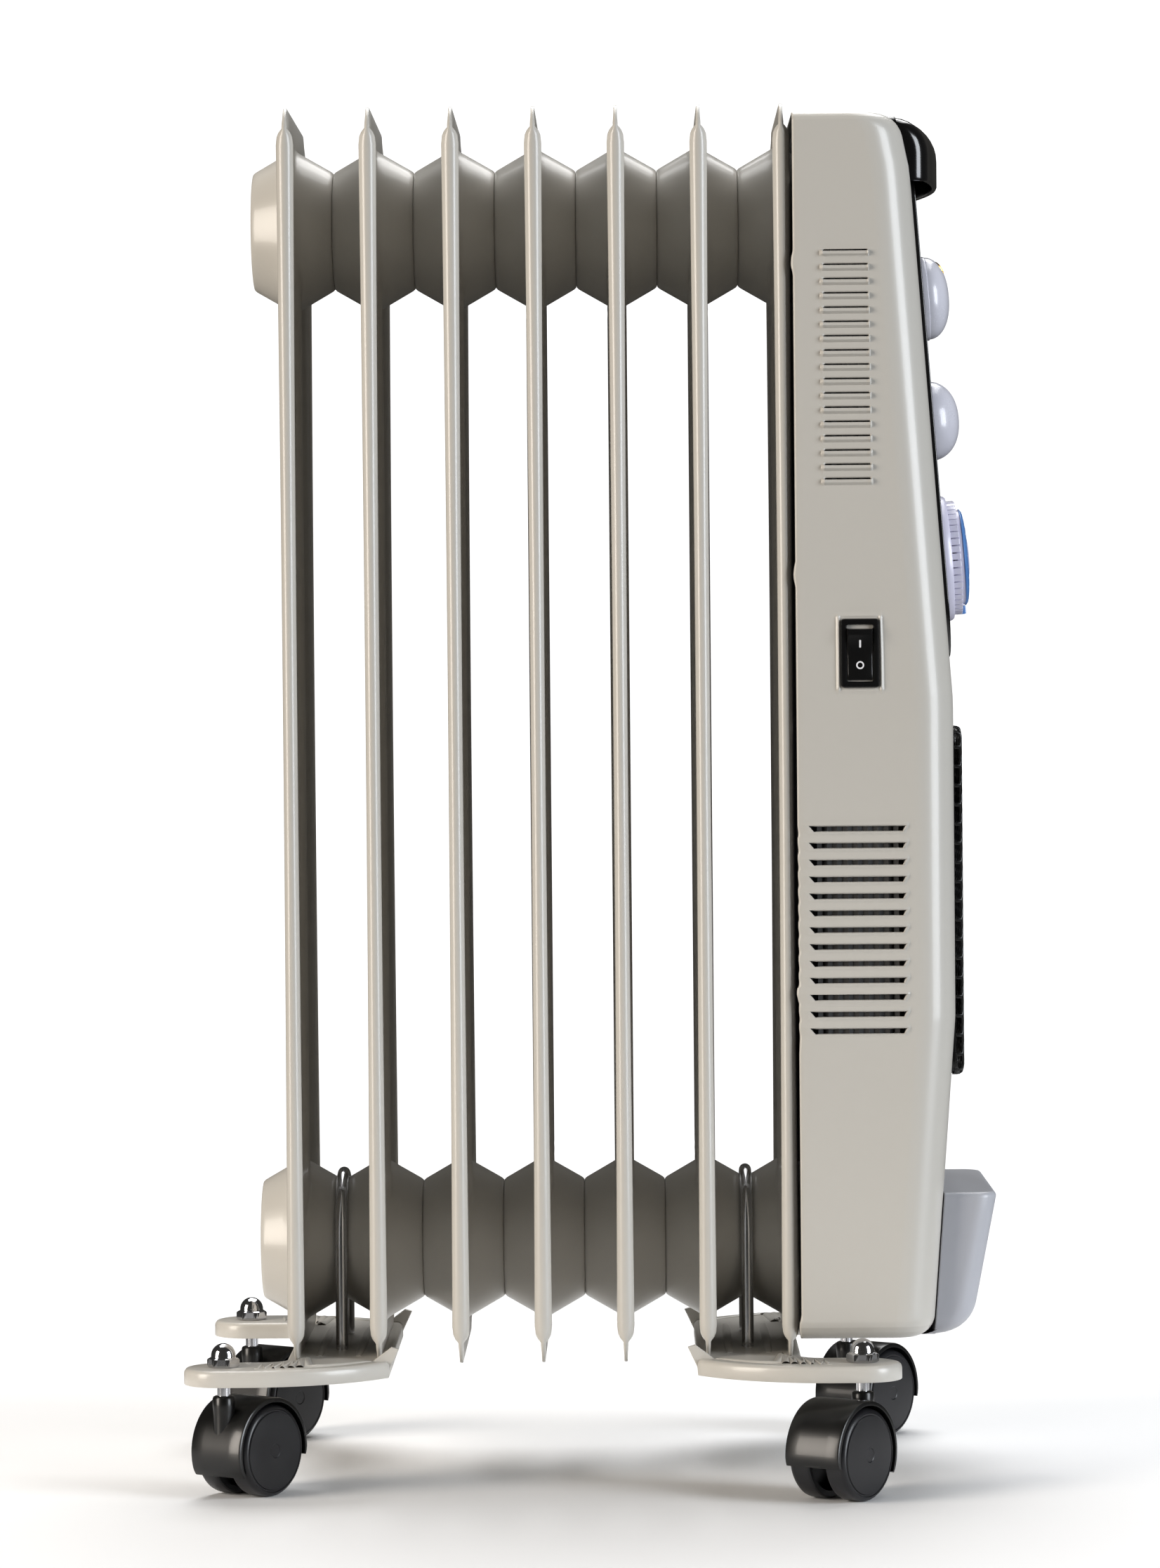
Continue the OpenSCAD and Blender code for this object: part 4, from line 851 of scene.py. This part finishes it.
def buildHandle(values):
    low, high = nodeBox("carry_handle")
    half, height = (high.y - low.y) / 2, high.z - low.z - values["raised"]
    wall = values["wall"]

    def row(z, inset):
        down = high.z - z
        front = high.x - roundIn(max(0, down - inset), values["frontRound"] - inset) - inset
        width = half - inset - roundIn(max(0, down - inset), values["sideRound"])
        # the back edge follows the casing's front, and sinks a little into it
        above = z - caseLow.z - slopeTop.y
        share = between(above / (caseTop.y - slopeTop.y), 0, 1)
        back = caseLow.x + slopeTop.x - (slopeTop.x - caseTop.x) * share
        back += max(0, -above) * values["slope"] - values["sunk"]
        return hoop(back, front, width, max(2, values["cornerRadius"] - inset), values["bow"], z)

    def heights(top, bottom, radius):
        curve = [top - radius * (1 - math.cos(math.radians(90 * k / 9))) for k in range(10)]
        return curve + [curve[-1] + (bottom - curve[-1]) * k / 6 for k in range(1, 7)]

    outer = [row(z, 0) for z in heights(high.z, high.z - height + 1.2, values["frontRound"])]
    lip = []
    for k in range(5):
        angle = math.radians(180 * k / 4)
        lip.append(row(high.z - height + 1.2 - 1.2 * math.sin(angle), wall * (1 - math.cos(angle)) / 2))
    inner = [row(z, wall) for z in heights(high.z - wall, high.z - height + 1.2, values["frontRound"] - wall)][::-1]
    rows = outer + lip[1:-1] + inner
    shape = Shape()
    shape.grid(rows)
    for edge in (rows[0], rows[-1]):
        pairs = [(edge[k], edge[-1 - k]) for k in range(len(edge) // 2)]
        shape.grid([[a.lerp(b, t / 6) for t in range(7)] for a, b in pairs])
    # the ends that lie against the casing
    shape.grid([[r[0] for r in rows], [r[0] - Vector((0.6, 0, 0)) for r in rows]])
    shape.grid([[r[-1] for r in rows], [r[-1] - Vector((0.6, 0, 0)) for r in rows]])
    shape.piece("handle_hood", "gloss_black", replaces=["carry_handle"], angle=40)


buildHandle(handleValues)

# Rocker switch

rockerValues = {"width": 17.6, "height": 31.7, "proud": 1.8, "wall": 1.9, "depth": 18, "tilt": 7}


def buildRocker(values):
    low, high = nodeBox("rocker_housing")
    middle = Vector(((low.x + high.x) / 2, -caseHalf, (low.z + high.z) / 2))
    place = moved(*middle) @ turned("X", 90)   # x along the casing, y up, z outwards
    outer = rectangle(values["width"], values["height"], 1.6, 5)
    hole = rectangle(values["width"] - 5.6, values["height"] - 5.6, 0.8, 5)
    inside = rectangle(values["width"] - 4, values["height"] - 4, 1, 5)
    top = values["proud"]
    shape = Shape()
    loops = [(hole, -9), (hole, top - 0.7), (shrunk(hole, -0.35), top - 0.15), (shrunk(hole, -0.8), top),
             (shrunk(outer, 1.1), top), (shrunk(outer, 0.35), top - 0.25), (outer, top - 0.8), (outer, 0.05),
             (inside, 0.05), (inside, -9)]
    rows = [[(x, y, z) for x, y in loop] for loop, z in loops]
    shape.grid(rows, wrap=True, place=place)
    shape.stack([(inside, -values["depth"]), (inside, -9)], place)
    for side in (-8, 0, 8):
        blade = rectangle(6, 0.8, 0.2, 2)
        shape.stack([(blade, -values["depth"] - 6.5), (blade, -values["depth"])], place @ moved(0, side, 0))
    shape.piece("rocker_bezel", "gloss_black", replaces=["rocker_housing"])
    # the paddle is a shallow vee whose lower end is pressed in
    tilt = place @ moved(0, 0, -3) @ turned("X", values["tilt"])
    wide, tall = (values["width"] - 5.6 - 0.8) / 2, (values["height"] - 5.6) / 2 - 1.3
    paddle = Shape()

    def face(y):
        return 4.3 + 1.9 * (abs(y) / tall) ** 1.4

    rows = []
    for k in range(17):
        y = tall * (k / 8 - 1)
        end = 1 if 0 < k < 16 else 0.9
        top = face(y) * (1 if 0 < k < 16 else 0.93)
        side = [(wide, -1), (wide, top - 0.5), (wide * 0.985, top - 0.15), (wide * 0.94 * end, top)]
        rows.append([(-x, y, z) for x, z in side] + [(x, y, z) for x, z in side[::-1]])
    paddle.grid(rows, wrap=True, ends=True, place=tilt)
    pin = wide + 1.2
    paddle.lathe([(0, -pin), (1.5, -pin), (1.5, pin), (0, pin)], 20, tilt @ turned("Y", 90))
    paddle.piece("rocker_paddle_cap", "gloss_black", "rocker", ["rocker_paddle"])
    marks = Shape()
    bar = rectangle(0.9, 3.6, 0.25, 2)
    slant = math.degrees(math.atan(1.9 * 1.4 * 0.5 ** 0.4 / tall))
    marks.stack([(bar, -0.3), (bar, 0.12)], tilt @ moved(0, tall * 0.42, face(tall * 0.42)) @ turned("X", slant))
    marks.lathe([(1.15, -0.3), (1.15, 0.12), (1.85, 0.12), (1.85, -0.3), (1.15, -0.3)], 28,
                tilt @ moved(0, -tall * 0.42, face(tall * 0.42)) @ turned("X", -slant))
    marks.piece("rocker_on_off_marks", "print_white", "rocker")


buildRocker(rockerValues)

# Outlet grille

grilleValues = {"pitch": 8.9, "wall": 1.5, "bar": 1.3, "edge": 2.2, "cornerRadius": 7, "columns": 8, "rows": 11}


def buildGrille(values):
    low, high = nodeBox("fan_grille")
    halfW, halfH = (high.y - low.y) / 2, (high.z - low.z) / 2
    centre, face = (low.z + high.z) / 2, caseLow.x + frontAt(caseValues["grille"][0])
    proud, edge, pitch = high.x - face, values["edge"], values["pitch"]
    column, cell = pitch * math.sqrt(3) / 2, pitch / math.sqrt(3)
    opening = (pitch - values["wall"]) / math.sqrt(3)
    corner = values["cornerRadius"] - edge
    arc = edge * math.pi / 2
    reach = arc + proud - edge - 0.3

    # the nearest place on the sheet's flat middle
    def flatPlace(y, z):
        wide, tall = halfW - edge - corner, halfH - edge - corner
        return Vector((between(y, -wide, wide), between(z, -tall, tall)))

    # the sheet is flat, then turns over its edge and runs back to the casing
    def point(y, z):
        flat = flatPlace(y, z)
        away = Vector((y, z)) - flat
        over = away.length - corner
        if over <= 0:
            return Vector((high.x, y, centre + z))
        side = away.normalized()
        over = min(over, reach)
        angle = min(over, arc) / edge
        out = corner + edge * math.sin(angle)
        drop = edge * (1 - math.cos(angle)) + max(0, over - arc)
        return Vector((high.x - drop, flat.x + side.x * out, centre + flat.y + side.y * out))

    def beyond(y, z):
        return (Vector((y, z)) - flatPlace(y, z)).length - corner

    sheet = Shape()
    for i in range(-values["columns"], values["columns"] + 1):
        odd = i % 2
        for j in range(-values["rows"] - odd, values["rows"] + 1):
            y, z = i * column, (j + odd * 0.5) * pitch
            if beyond(y, z) > reach + cell:
                continue
            rings = []
            for radius in (cell, opening):
                ring = []
                for k in range(12):
                    angle = math.radians(30 * k)
                    away = radius if k % 2 == 0 else radius * math.cos(math.radians(30))
                    ring.append(point(y + away * math.cos(angle), z + away * math.sin(angle)))
                rings.append(ring)
            sheet.grid(rings, wrap=True)
    sheet.piece("grille_honeycomb", "satin_black", replaces=["fan_grille"], angle=40, modifiers=[
        ("SOLIDIFY", {"thickness": values["bar"] / 1000, "offset": -1, "use_rim": True})])
    rim = Shape()
    loop = rectangle(2 * halfW, 2 * halfH, values["cornerRadius"], 6)
    layers = [(1.4, -1.6), (1.4, 0.7), (0.3, 0.7), (0, 0.4), (0, 0.05), (0.6, 0.05), (0.6, -1.6), (1.4, -1.6)]
    rim.grid([[(x, y, z) for x, y in shrunk(loop, inset)] for inset, z in layers], wrap=True,
             place=moved(face, 0, centre) @ faceOut)
    rim.piece("grille_rim", "satin_black", angle=40)


buildGrille(grilleValues)

# Screens behind the louvres

screenValues = {"inset": 5, "rib": 4.6, "ribDepth": 1.4, "thick": 0.9, "over": 5}


def buildScreens(values):
    case, over = caseValues, values["over"]
    fields = [(case["louvreX"], case["louvreHalf"], case["louvreZ"], case["louvreStep"] * case["louvreCount"] - 3),
              (case["ventX"], case["ventHalf"], case["ventZ"], case["ventStep"] * (case["ventCount"] - 1))]
    shape = Shape()
    for middle, halfLength, foot, height in fields:
        x0, half = caseLow.x + middle, halfLength + over - 1.5
        for side in (-1, 1):
            count = int(2 * half / values["rib"]) * 4
            wave = [(x0 - half + 2 * half * k / count, values["ribDepth"] * (0.5 - 0.5 * math.cos(math.pi * k / 2)))
                    for k in range(count + 1)]
            y = side * (caseHalf - values["inset"])
            line = [Vector((x, y + side * rise)) for x, rise in wave]
            line += [Vector((x, y + side * (rise - values["thick"]))) for x, rise in wave[::-1]]
            shape.stack([(line, caseLow.z + foot - over), (line, caseLow.z + foot + height + over)])
    shape.piece("louvre_screens", "back_black", angle=50)


buildScreens(screenValues)
print("handle, rocker, grille and screens made")

# Front box

boxValues = {"lowered": 2, "lean": 13, "footRound": 15, "sideRound": 9, "topRound": 2.6, "cornerRadius": 10,
             "clear": 0.3}


def buildFrontBox(values):
    low, high = nodeBox("front_box")
    half, height = (high.y - low.y) / 2, high.z - low.z - values["lowered"]

    def loop(z):
        tuck = roundIn(height - z, values["topRound"])
        front = high.x - values["lean"] * (1 - z / height) - roundIn(z, values["footRound"]) - tuck
        back = caseLow.x + caseFoot.x + (caseBelly.x - caseFoot.x) * z / caseBelly.y + values["clear"]
        width = half - roundIn(z, values["sideRound"]) - tuck
        corner = values["cornerRadius"] - tuck
        corners = [(back, -width, 0.6), (front, -width, corner), (front, width, corner), (back, width, 0.6)]
        return softened(corners, 7, True)

    curve = [values["footRound"] * (1 - math.cos(math.radians(90 * k / 10))) for k in range(11)]
    shoulder = [height - values["topRound"] * (1 - math.sin(math.radians(90 * k / 5))) for k in range(6)]
    straight = [curve[-1] + (shoulder[0] - curve[-1]) * k / 6 for k in range(1, 6)]
    shape = Shape()
    shape.stack([(loop(z), z) for z in curve + straight + shoulder], moved(0, 0, low.z))
    shape.piece("front_box_shell", "tray_grey", replaces=["front_box"], angle=45)


buildFrontBox(boxValues)

# Cord gland

glandValues = {"bore": 3.6, "flange": 11, "nose": 6, "ribs": 4}


def buildGland(values):
    low, high = nodeBox("cord_gland")
    place = moved((low.x + high.x) / 2, caseHalf, (low.z + high.z) / 2) @ faceRight
    bore, flange, nose = values["bore"], values["flange"], values["nose"]
    profile = [(bore, -9.9), (7.9, -9.9), (7.9, 0.05), (flange, 0.05), (flange, 2.2), (flange - 0.7, 3), (8.2, 3.1),
               (8, 3.6)]
    for k in range(values["ribs"]):
        h = 4.2 + k * 1.9
        r = 8 - (8 - nose) * (h - 3) / 9
        profile += [(r - 0.7, h), (r - 0.7, h + 0.5), (r, h + 0.8), (r - 0.15, h + 1.5)]
    profile += [(nose - 0.1, 11.6), (nose - 0.6, 12), (bore + 0.3, 12), (bore, 11.7), (bore, -9.9)]
    shape = Shape()
    shape.lathe(profile, 56, place)
    nut, bored = ([polar(radius, 60 * k) for k in range(6)] for radius in (10.2, 7.95))
    rows = [(bored, -6), (nut, -6), (nut, -2.4), (bored, -2.4), (bored, -6)]
    shape.grid([[(x, y, z) for x, y in ring] for ring, z in rows], wrap=True, place=place)
    shape.piece("gland_body", "satin_black", replaces=["cord_gland"])


buildGland(glandValues)

# Foot plates

footValues = {
    "reach": 51, "track": 189, "tip": 18, "pitch": 38, "waist": 80, "notch": 10, "wall": 2, "round": 2.4,
    "shoulder": 5, "rimTop": 7.5, "ribWidth": 4.6, "ribRise": 1.1, "crossRibAt": 9, "crossRibHalf": 58,
}


def footLoop(values):
    body, edge = values["pitch"] / 2 + values["shoulder"], values["reach"] - 11
    inner = -body
    stud, tip, notch = values["track"] / 2, values["tip"], values["notch"]
    out = stud + tip
    sweep = ((edge - inner) ** 2 + (out - values["waist"]) ** 2) / (2 * (out - values["waist"]))
    last = math.degrees(math.acos((inner - edge) / sweep))
    half = [polar(notch, angle, body + notch, stud - tip - notch) for angle in range(180, 89, -15)]
    half += [polar(tip, angle, values["reach"], stud) for angle in range(-90, 91, 12)]
    half += [polar(sweep, 90 + (last - 90) * k / 16, edge, out - sweep) for k in range(1, 17)]
    loop = [Vector(p) for p in half] + [Vector((x, -y)) for x, y in reversed(half)]
    clean = [p for i, p in enumerate(loop) if (p - loop[i - 1]).length > 0.05]
    area = sum(a.x * b.y - b.x * a.y for a, b in zip(clean, clean[1:] + clean[:1]))
    return clean if area > 0 else clean[::-1]


def buildFoot(values, name, node, clampX, direction):
    low, high = nodeBox(node)
    base, rimTop = low.z, values["rimTop"]
    loop = footLoop(values)
    if direction < 0:
        loop = [Vector((-p.x, p.y)) for p in loop][::-1]
    place = moved(clampX, 0, base)
    r, wall = values["round"], values["wall"]
    shape = Shape()
    layers = [(wall, rimTop - wall), (wall, 0.4), (wall - 0.4, 0), (0.2, 0), (0, 0.3), (0, rimTop - r)]
    for angle in (22, 45, 67, 90):
        across, up = polar(r, angle)
        layers.append((r - across, rimTop - r + up))
    layers = [(shrunk(loop, inset), z) for inset, z in layers]
    shape.stack(layers, place)
    # pressed ribs: along the swept edge, and across between the clamp's legs
    inner = shrunk(loop, 9)
    paths = []
    for side in (-1, 1):
        swept = [p for p in inner if p.y * side > 56 and p.x * direction < 46 and abs(p.y) > 62]
        swept = sorted(swept, key=lambda p: p.x * direction)
        if len(swept) > 3:
            paths.append([p for p in swept if p.x * direction > -20])
    reach = values["crossRibHalf"]
    for x in (values["crossRibAt"], -values["crossRibAt"]):
        paths.append([Vector((direction * x, reach * (k / 8 - 1))) for k in range(17)])
    for path in paths:
        rows = []
        for i, p in enumerate(path):
            along = (path[min(i + 1, len(path) - 1)] - path[max(i - 1, 0)]).normalized()
            across = Vector((-along.y, along.x))
            ease = math.sin(math.pi * between(min(i + 0.25, len(path) - 0.75) / (len(path) - 1), 0.02, 0.98)) ** 0.35
            wide, rise = values["ribWidth"] / 2 * (0.4 + 0.6 * ease), values["ribRise"] * ease + 0.3
            arc = [polar(1, angle) for angle in range(0, 181, 20)]
            rows.append([(*(p + across * wide * c), rimTop - 0.4 + rise * s) for c, s in arc])
        shape.grid(rows, wrap=True, ends=True, place=place)
    # the bent up tabs at the inner corners
    inner = -values["pitch"] / 2 - values["shoulder"]
    flap = [Vector((direction * x, z)) for x, z in ((inner + 8, 1.5), (inner, 3), (inner - 4.6, rimTop + 5.4),
                                                  (inner - 1.2, rimTop + 6.4), (inner + 8, rimTop - 0.4))]
    if sum(a.x * b.y - b.x * a.y for a, b in zip(flap, flap[1:] + flap[:1])) < 0:
        flap = flap[::-1]
    for side in (-1, 1):
        y = side * (values["waist"] - 3)
        layers = [(shrunk(flap, 0.4), -1), (flap, -0.6), (flap, 0.6), (shrunk(flap, 0.4), 1)]
        shape.stack(layers, moved(clampX, y, base) @ turned("X", 90))
    shape.piece(name, "enamel", replaces=[node], angle=40)


rearClamp, frontClamp = nodeBox("clamp_rear"), nodeBox("clamp_front")
buildFoot(footValues, "rear_foot_plate", "foot_plate_rear", (rearClamp[0].x + rearClamp[1].x) / 2, -1)
buildFoot(footValues, "front_foot_plate", "foot_plate_front", (frontClamp[0].x + frontClamp[1].x) / 2, 1)

# Cap nuts

nutValues = {"half": 6.5, "hexHeight": 4.2, "dome": 5.6, "turn": 26, "seam": 0.95}
studInset = 4  # from the studs' outline to their middle
studs = nodeBox("caster_studs")


def buildCapNuts(values):
    low = nodeBox("cap_nuts")[0]
    shape = Shape()
    steps, half, tall, dome = 72, values["half"], values["hexHeight"], values["dome"]
    limits = [(0, 6.6), (0.25, 7.1), (0.6, 7.6), (tall - 0.9, 7.6), (tall - 0.4, 7.0), (tall, 6.3)]
    seam = tall + values["seam"]
    for x in (studs[0].x + studInset, studs[1].x - studInset):
        for y in (studs[0].y + studInset, studs[1].y - studInset):
            rows = []
            for h, limit in limits:
                row = []
                for k in range(steps):
                    angle = 2 * math.pi * k / steps
                    flat = half / math.cos((angle + math.pi / 6) % (math.pi / 3) - math.pi / 6)
                    r = min(flat, limit)
                    row.append((r * math.cos(angle), r * math.sin(angle), h))
                rows.append(row)
            ring = [(dome + 0.35, tall), (dome + 0.1, tall + 0.3), (dome, tall + 0.7)]
            ring += [polar(dome, angle, 0, seam) for angle in range(0, 90, 9)]
            for r, h in ring:
                rows.append([(*polar(r, 360 * k / steps), h) for k in range(steps)])
            rows.append([(0, 0, seam + dome)] * steps)
            rows.insert(0, [(0, 0, 0)] * steps)
            shape.grid(rows, wrap=True, place=moved(x, y, low.z) @ turned("Z", values["turn"]))
    shape.piece("caster_cap_nuts", "chrome", replaces=["cap_nuts"], angle=25)


buildCapNuts(nutValues)
print("front box, gland, feet and nuts made")

# Casters

casterValues = {"trail": 17.9, "gap": 1.4, "thick": 2.1, "web": 8, "wheelRadius": 21, "wheelWidth": 11.2,
                "frontEnd": 206, "rearEnd": -10, "neck": 5.1, "yaw": {"rl": 54, "rr": 54, "fl": 234, "fr": 54}}


def buildCaster(values, key, studX, studY):
    place = moved(studX, studY, 0) @ turned("Z", values["yaw"][key])
    trail, radius, thick = values["trail"], values["wheelRadius"], values["thick"]
    outer = radius + values["gap"] + thick
    half = (values["web"] + 2 * values["wheelWidth"] - 1) / 2
    axle = place @ moved(trail, 0, radius) @ turned("X", 90)
    hood = Shape()
    # the curved fender over both wheels, its section swept round the axle
    edge = [(half, outer - thick), (half, outer - 0.9), (half - 0.35, outer - 0.3), (half - 1.1, outer),
            (half * 0.5, outer)]
    section = [(-y, r) for y, r in edge] + [(0, outer)] + edge[::-1]
    section += [(half - 0.6, outer - thick - 0.1), (-half + 0.6, outer - thick - 0.1)]
    rows = []
    count = 48
    for k in range(count + 1):
        angle = math.radians(values["rearEnd"] + (values["frontEnd"] - values["rearEnd"]) * k / count)
        thin = 1 - 0.55 * max(0, 1 - min(k, count - k) / 1.5)
        rows.append([((outer - (outer - r) - (1 - thin) * (r - (outer - thick)) * 0.6) * math.cos(angle),
                      (r - (1 - thin) * (r - (outer - thick)) * 0.6) * math.sin(angle), y) for y, r in section])
    hood.grid(rows, wrap=True, ends=True, place=axle)
    # the web between the wheels
    webHalf, webRadius = values["web"] / 2, outer - 0.5
    fan = [(webRadius * math.cos(math.radians(a)), webRadius * math.sin(math.radians(a))) for a in
           [values["rearEnd"] + 1 + (values["frontEnd"] - values["rearEnd"] - 2) * k / 32 for k in range(33)]]
    low = softened([(fan[-1][0], fan[-1][1], 0), (-6, -7.5, 3), (6, -7.5, 3), (fan[0][0], fan[0][1], 0)], 4)
    loop = [Vector(p) for p in fan] + [p for p in low[1:-1]]
    layers = [(0.4, -webHalf), (0, -webHalf + 0.4), (0, webHalf - 0.4), (0.4, webHalf)]
    hood.stack([(shrunk(loop, inset), z) for inset, z in layers], axle)
    # the neck that takes the stud
    neck, top = values["neck"], nodeBox("caster_hood_" + key)[1].z
    hood.lathe([(0, 30), (neck - 0.2, 30), (neck - 0.2, 38.6), (neck - 0.1, 40.5), (neck, 42.4), (neck, top - 1.2),
                (neck - 0.35, top - 0.4), (neck - 1.1, top), (3.1, top), (3.1, top - 3), (0, top - 3)], 40, place)
    hood.piece("caster_fender_" + key, "satin_black", "caster_" + key, ["caster_hood_" + key], angle=32)
    for side, word in ((1, "in"), (-1, "out")):
        start = values["web"] / 2 + 0.5
        wide = values["wheelWidth"]
        wheel = Shape()
        turn = place @ moved(trail, 0, radius) @ turned("X", -90 if side > 0 else 90) @ moved(0, 0, start)
        hub = [(2.56, 0), (5.4, 0), (5.4, wide - 3.4), (radius - 3.6, wide - 3.4), (radius - 3.4, 0.3)]
        tread = [(radius - 0.9, 0), (radius - 0.25, 0.5), (radius, 1.4), (radius, wide - 3.2),
                 (radius - 0.35, wide - 1.9), (radius - 1.3, wide - 0.8), (radius - 2.0, wide - 0.55)]
        # a fine groove, then the slightly domed face and its hollow for the axle
        face = [(radius - 2.3, wide - 0.95), (radius - 2.9, wide - 0.95), (radius - 3.2, wide - 0.45),
                (radius * 0.62, wide - 0.12), (radius * 0.3, wide), (3.4, wide), (3.0, wide - 0.3), (0, wide - 0.3),
                (0, wide - 0.9), (2.56, wide - 2.6), (2.56, 0)]
        profile = hub + tread + face
        wheel.lathe(profile, 72, turn)
        name = "wheel_%s_%s" % (key, word)
        wheel.piece("caster_" + name, "wheel_black", name, [name], angle=30)


for key in ("rl", "rr", "fl", "fr"):
    studX = studs[1].x - studInset if key[0] == "f" else studs[0].x + studInset
    studY = studs[0].y + studInset if key[1] == "l" else studs[1].y - studInset
    buildCaster(casterValues, key, studX, studY)
print("casters made")
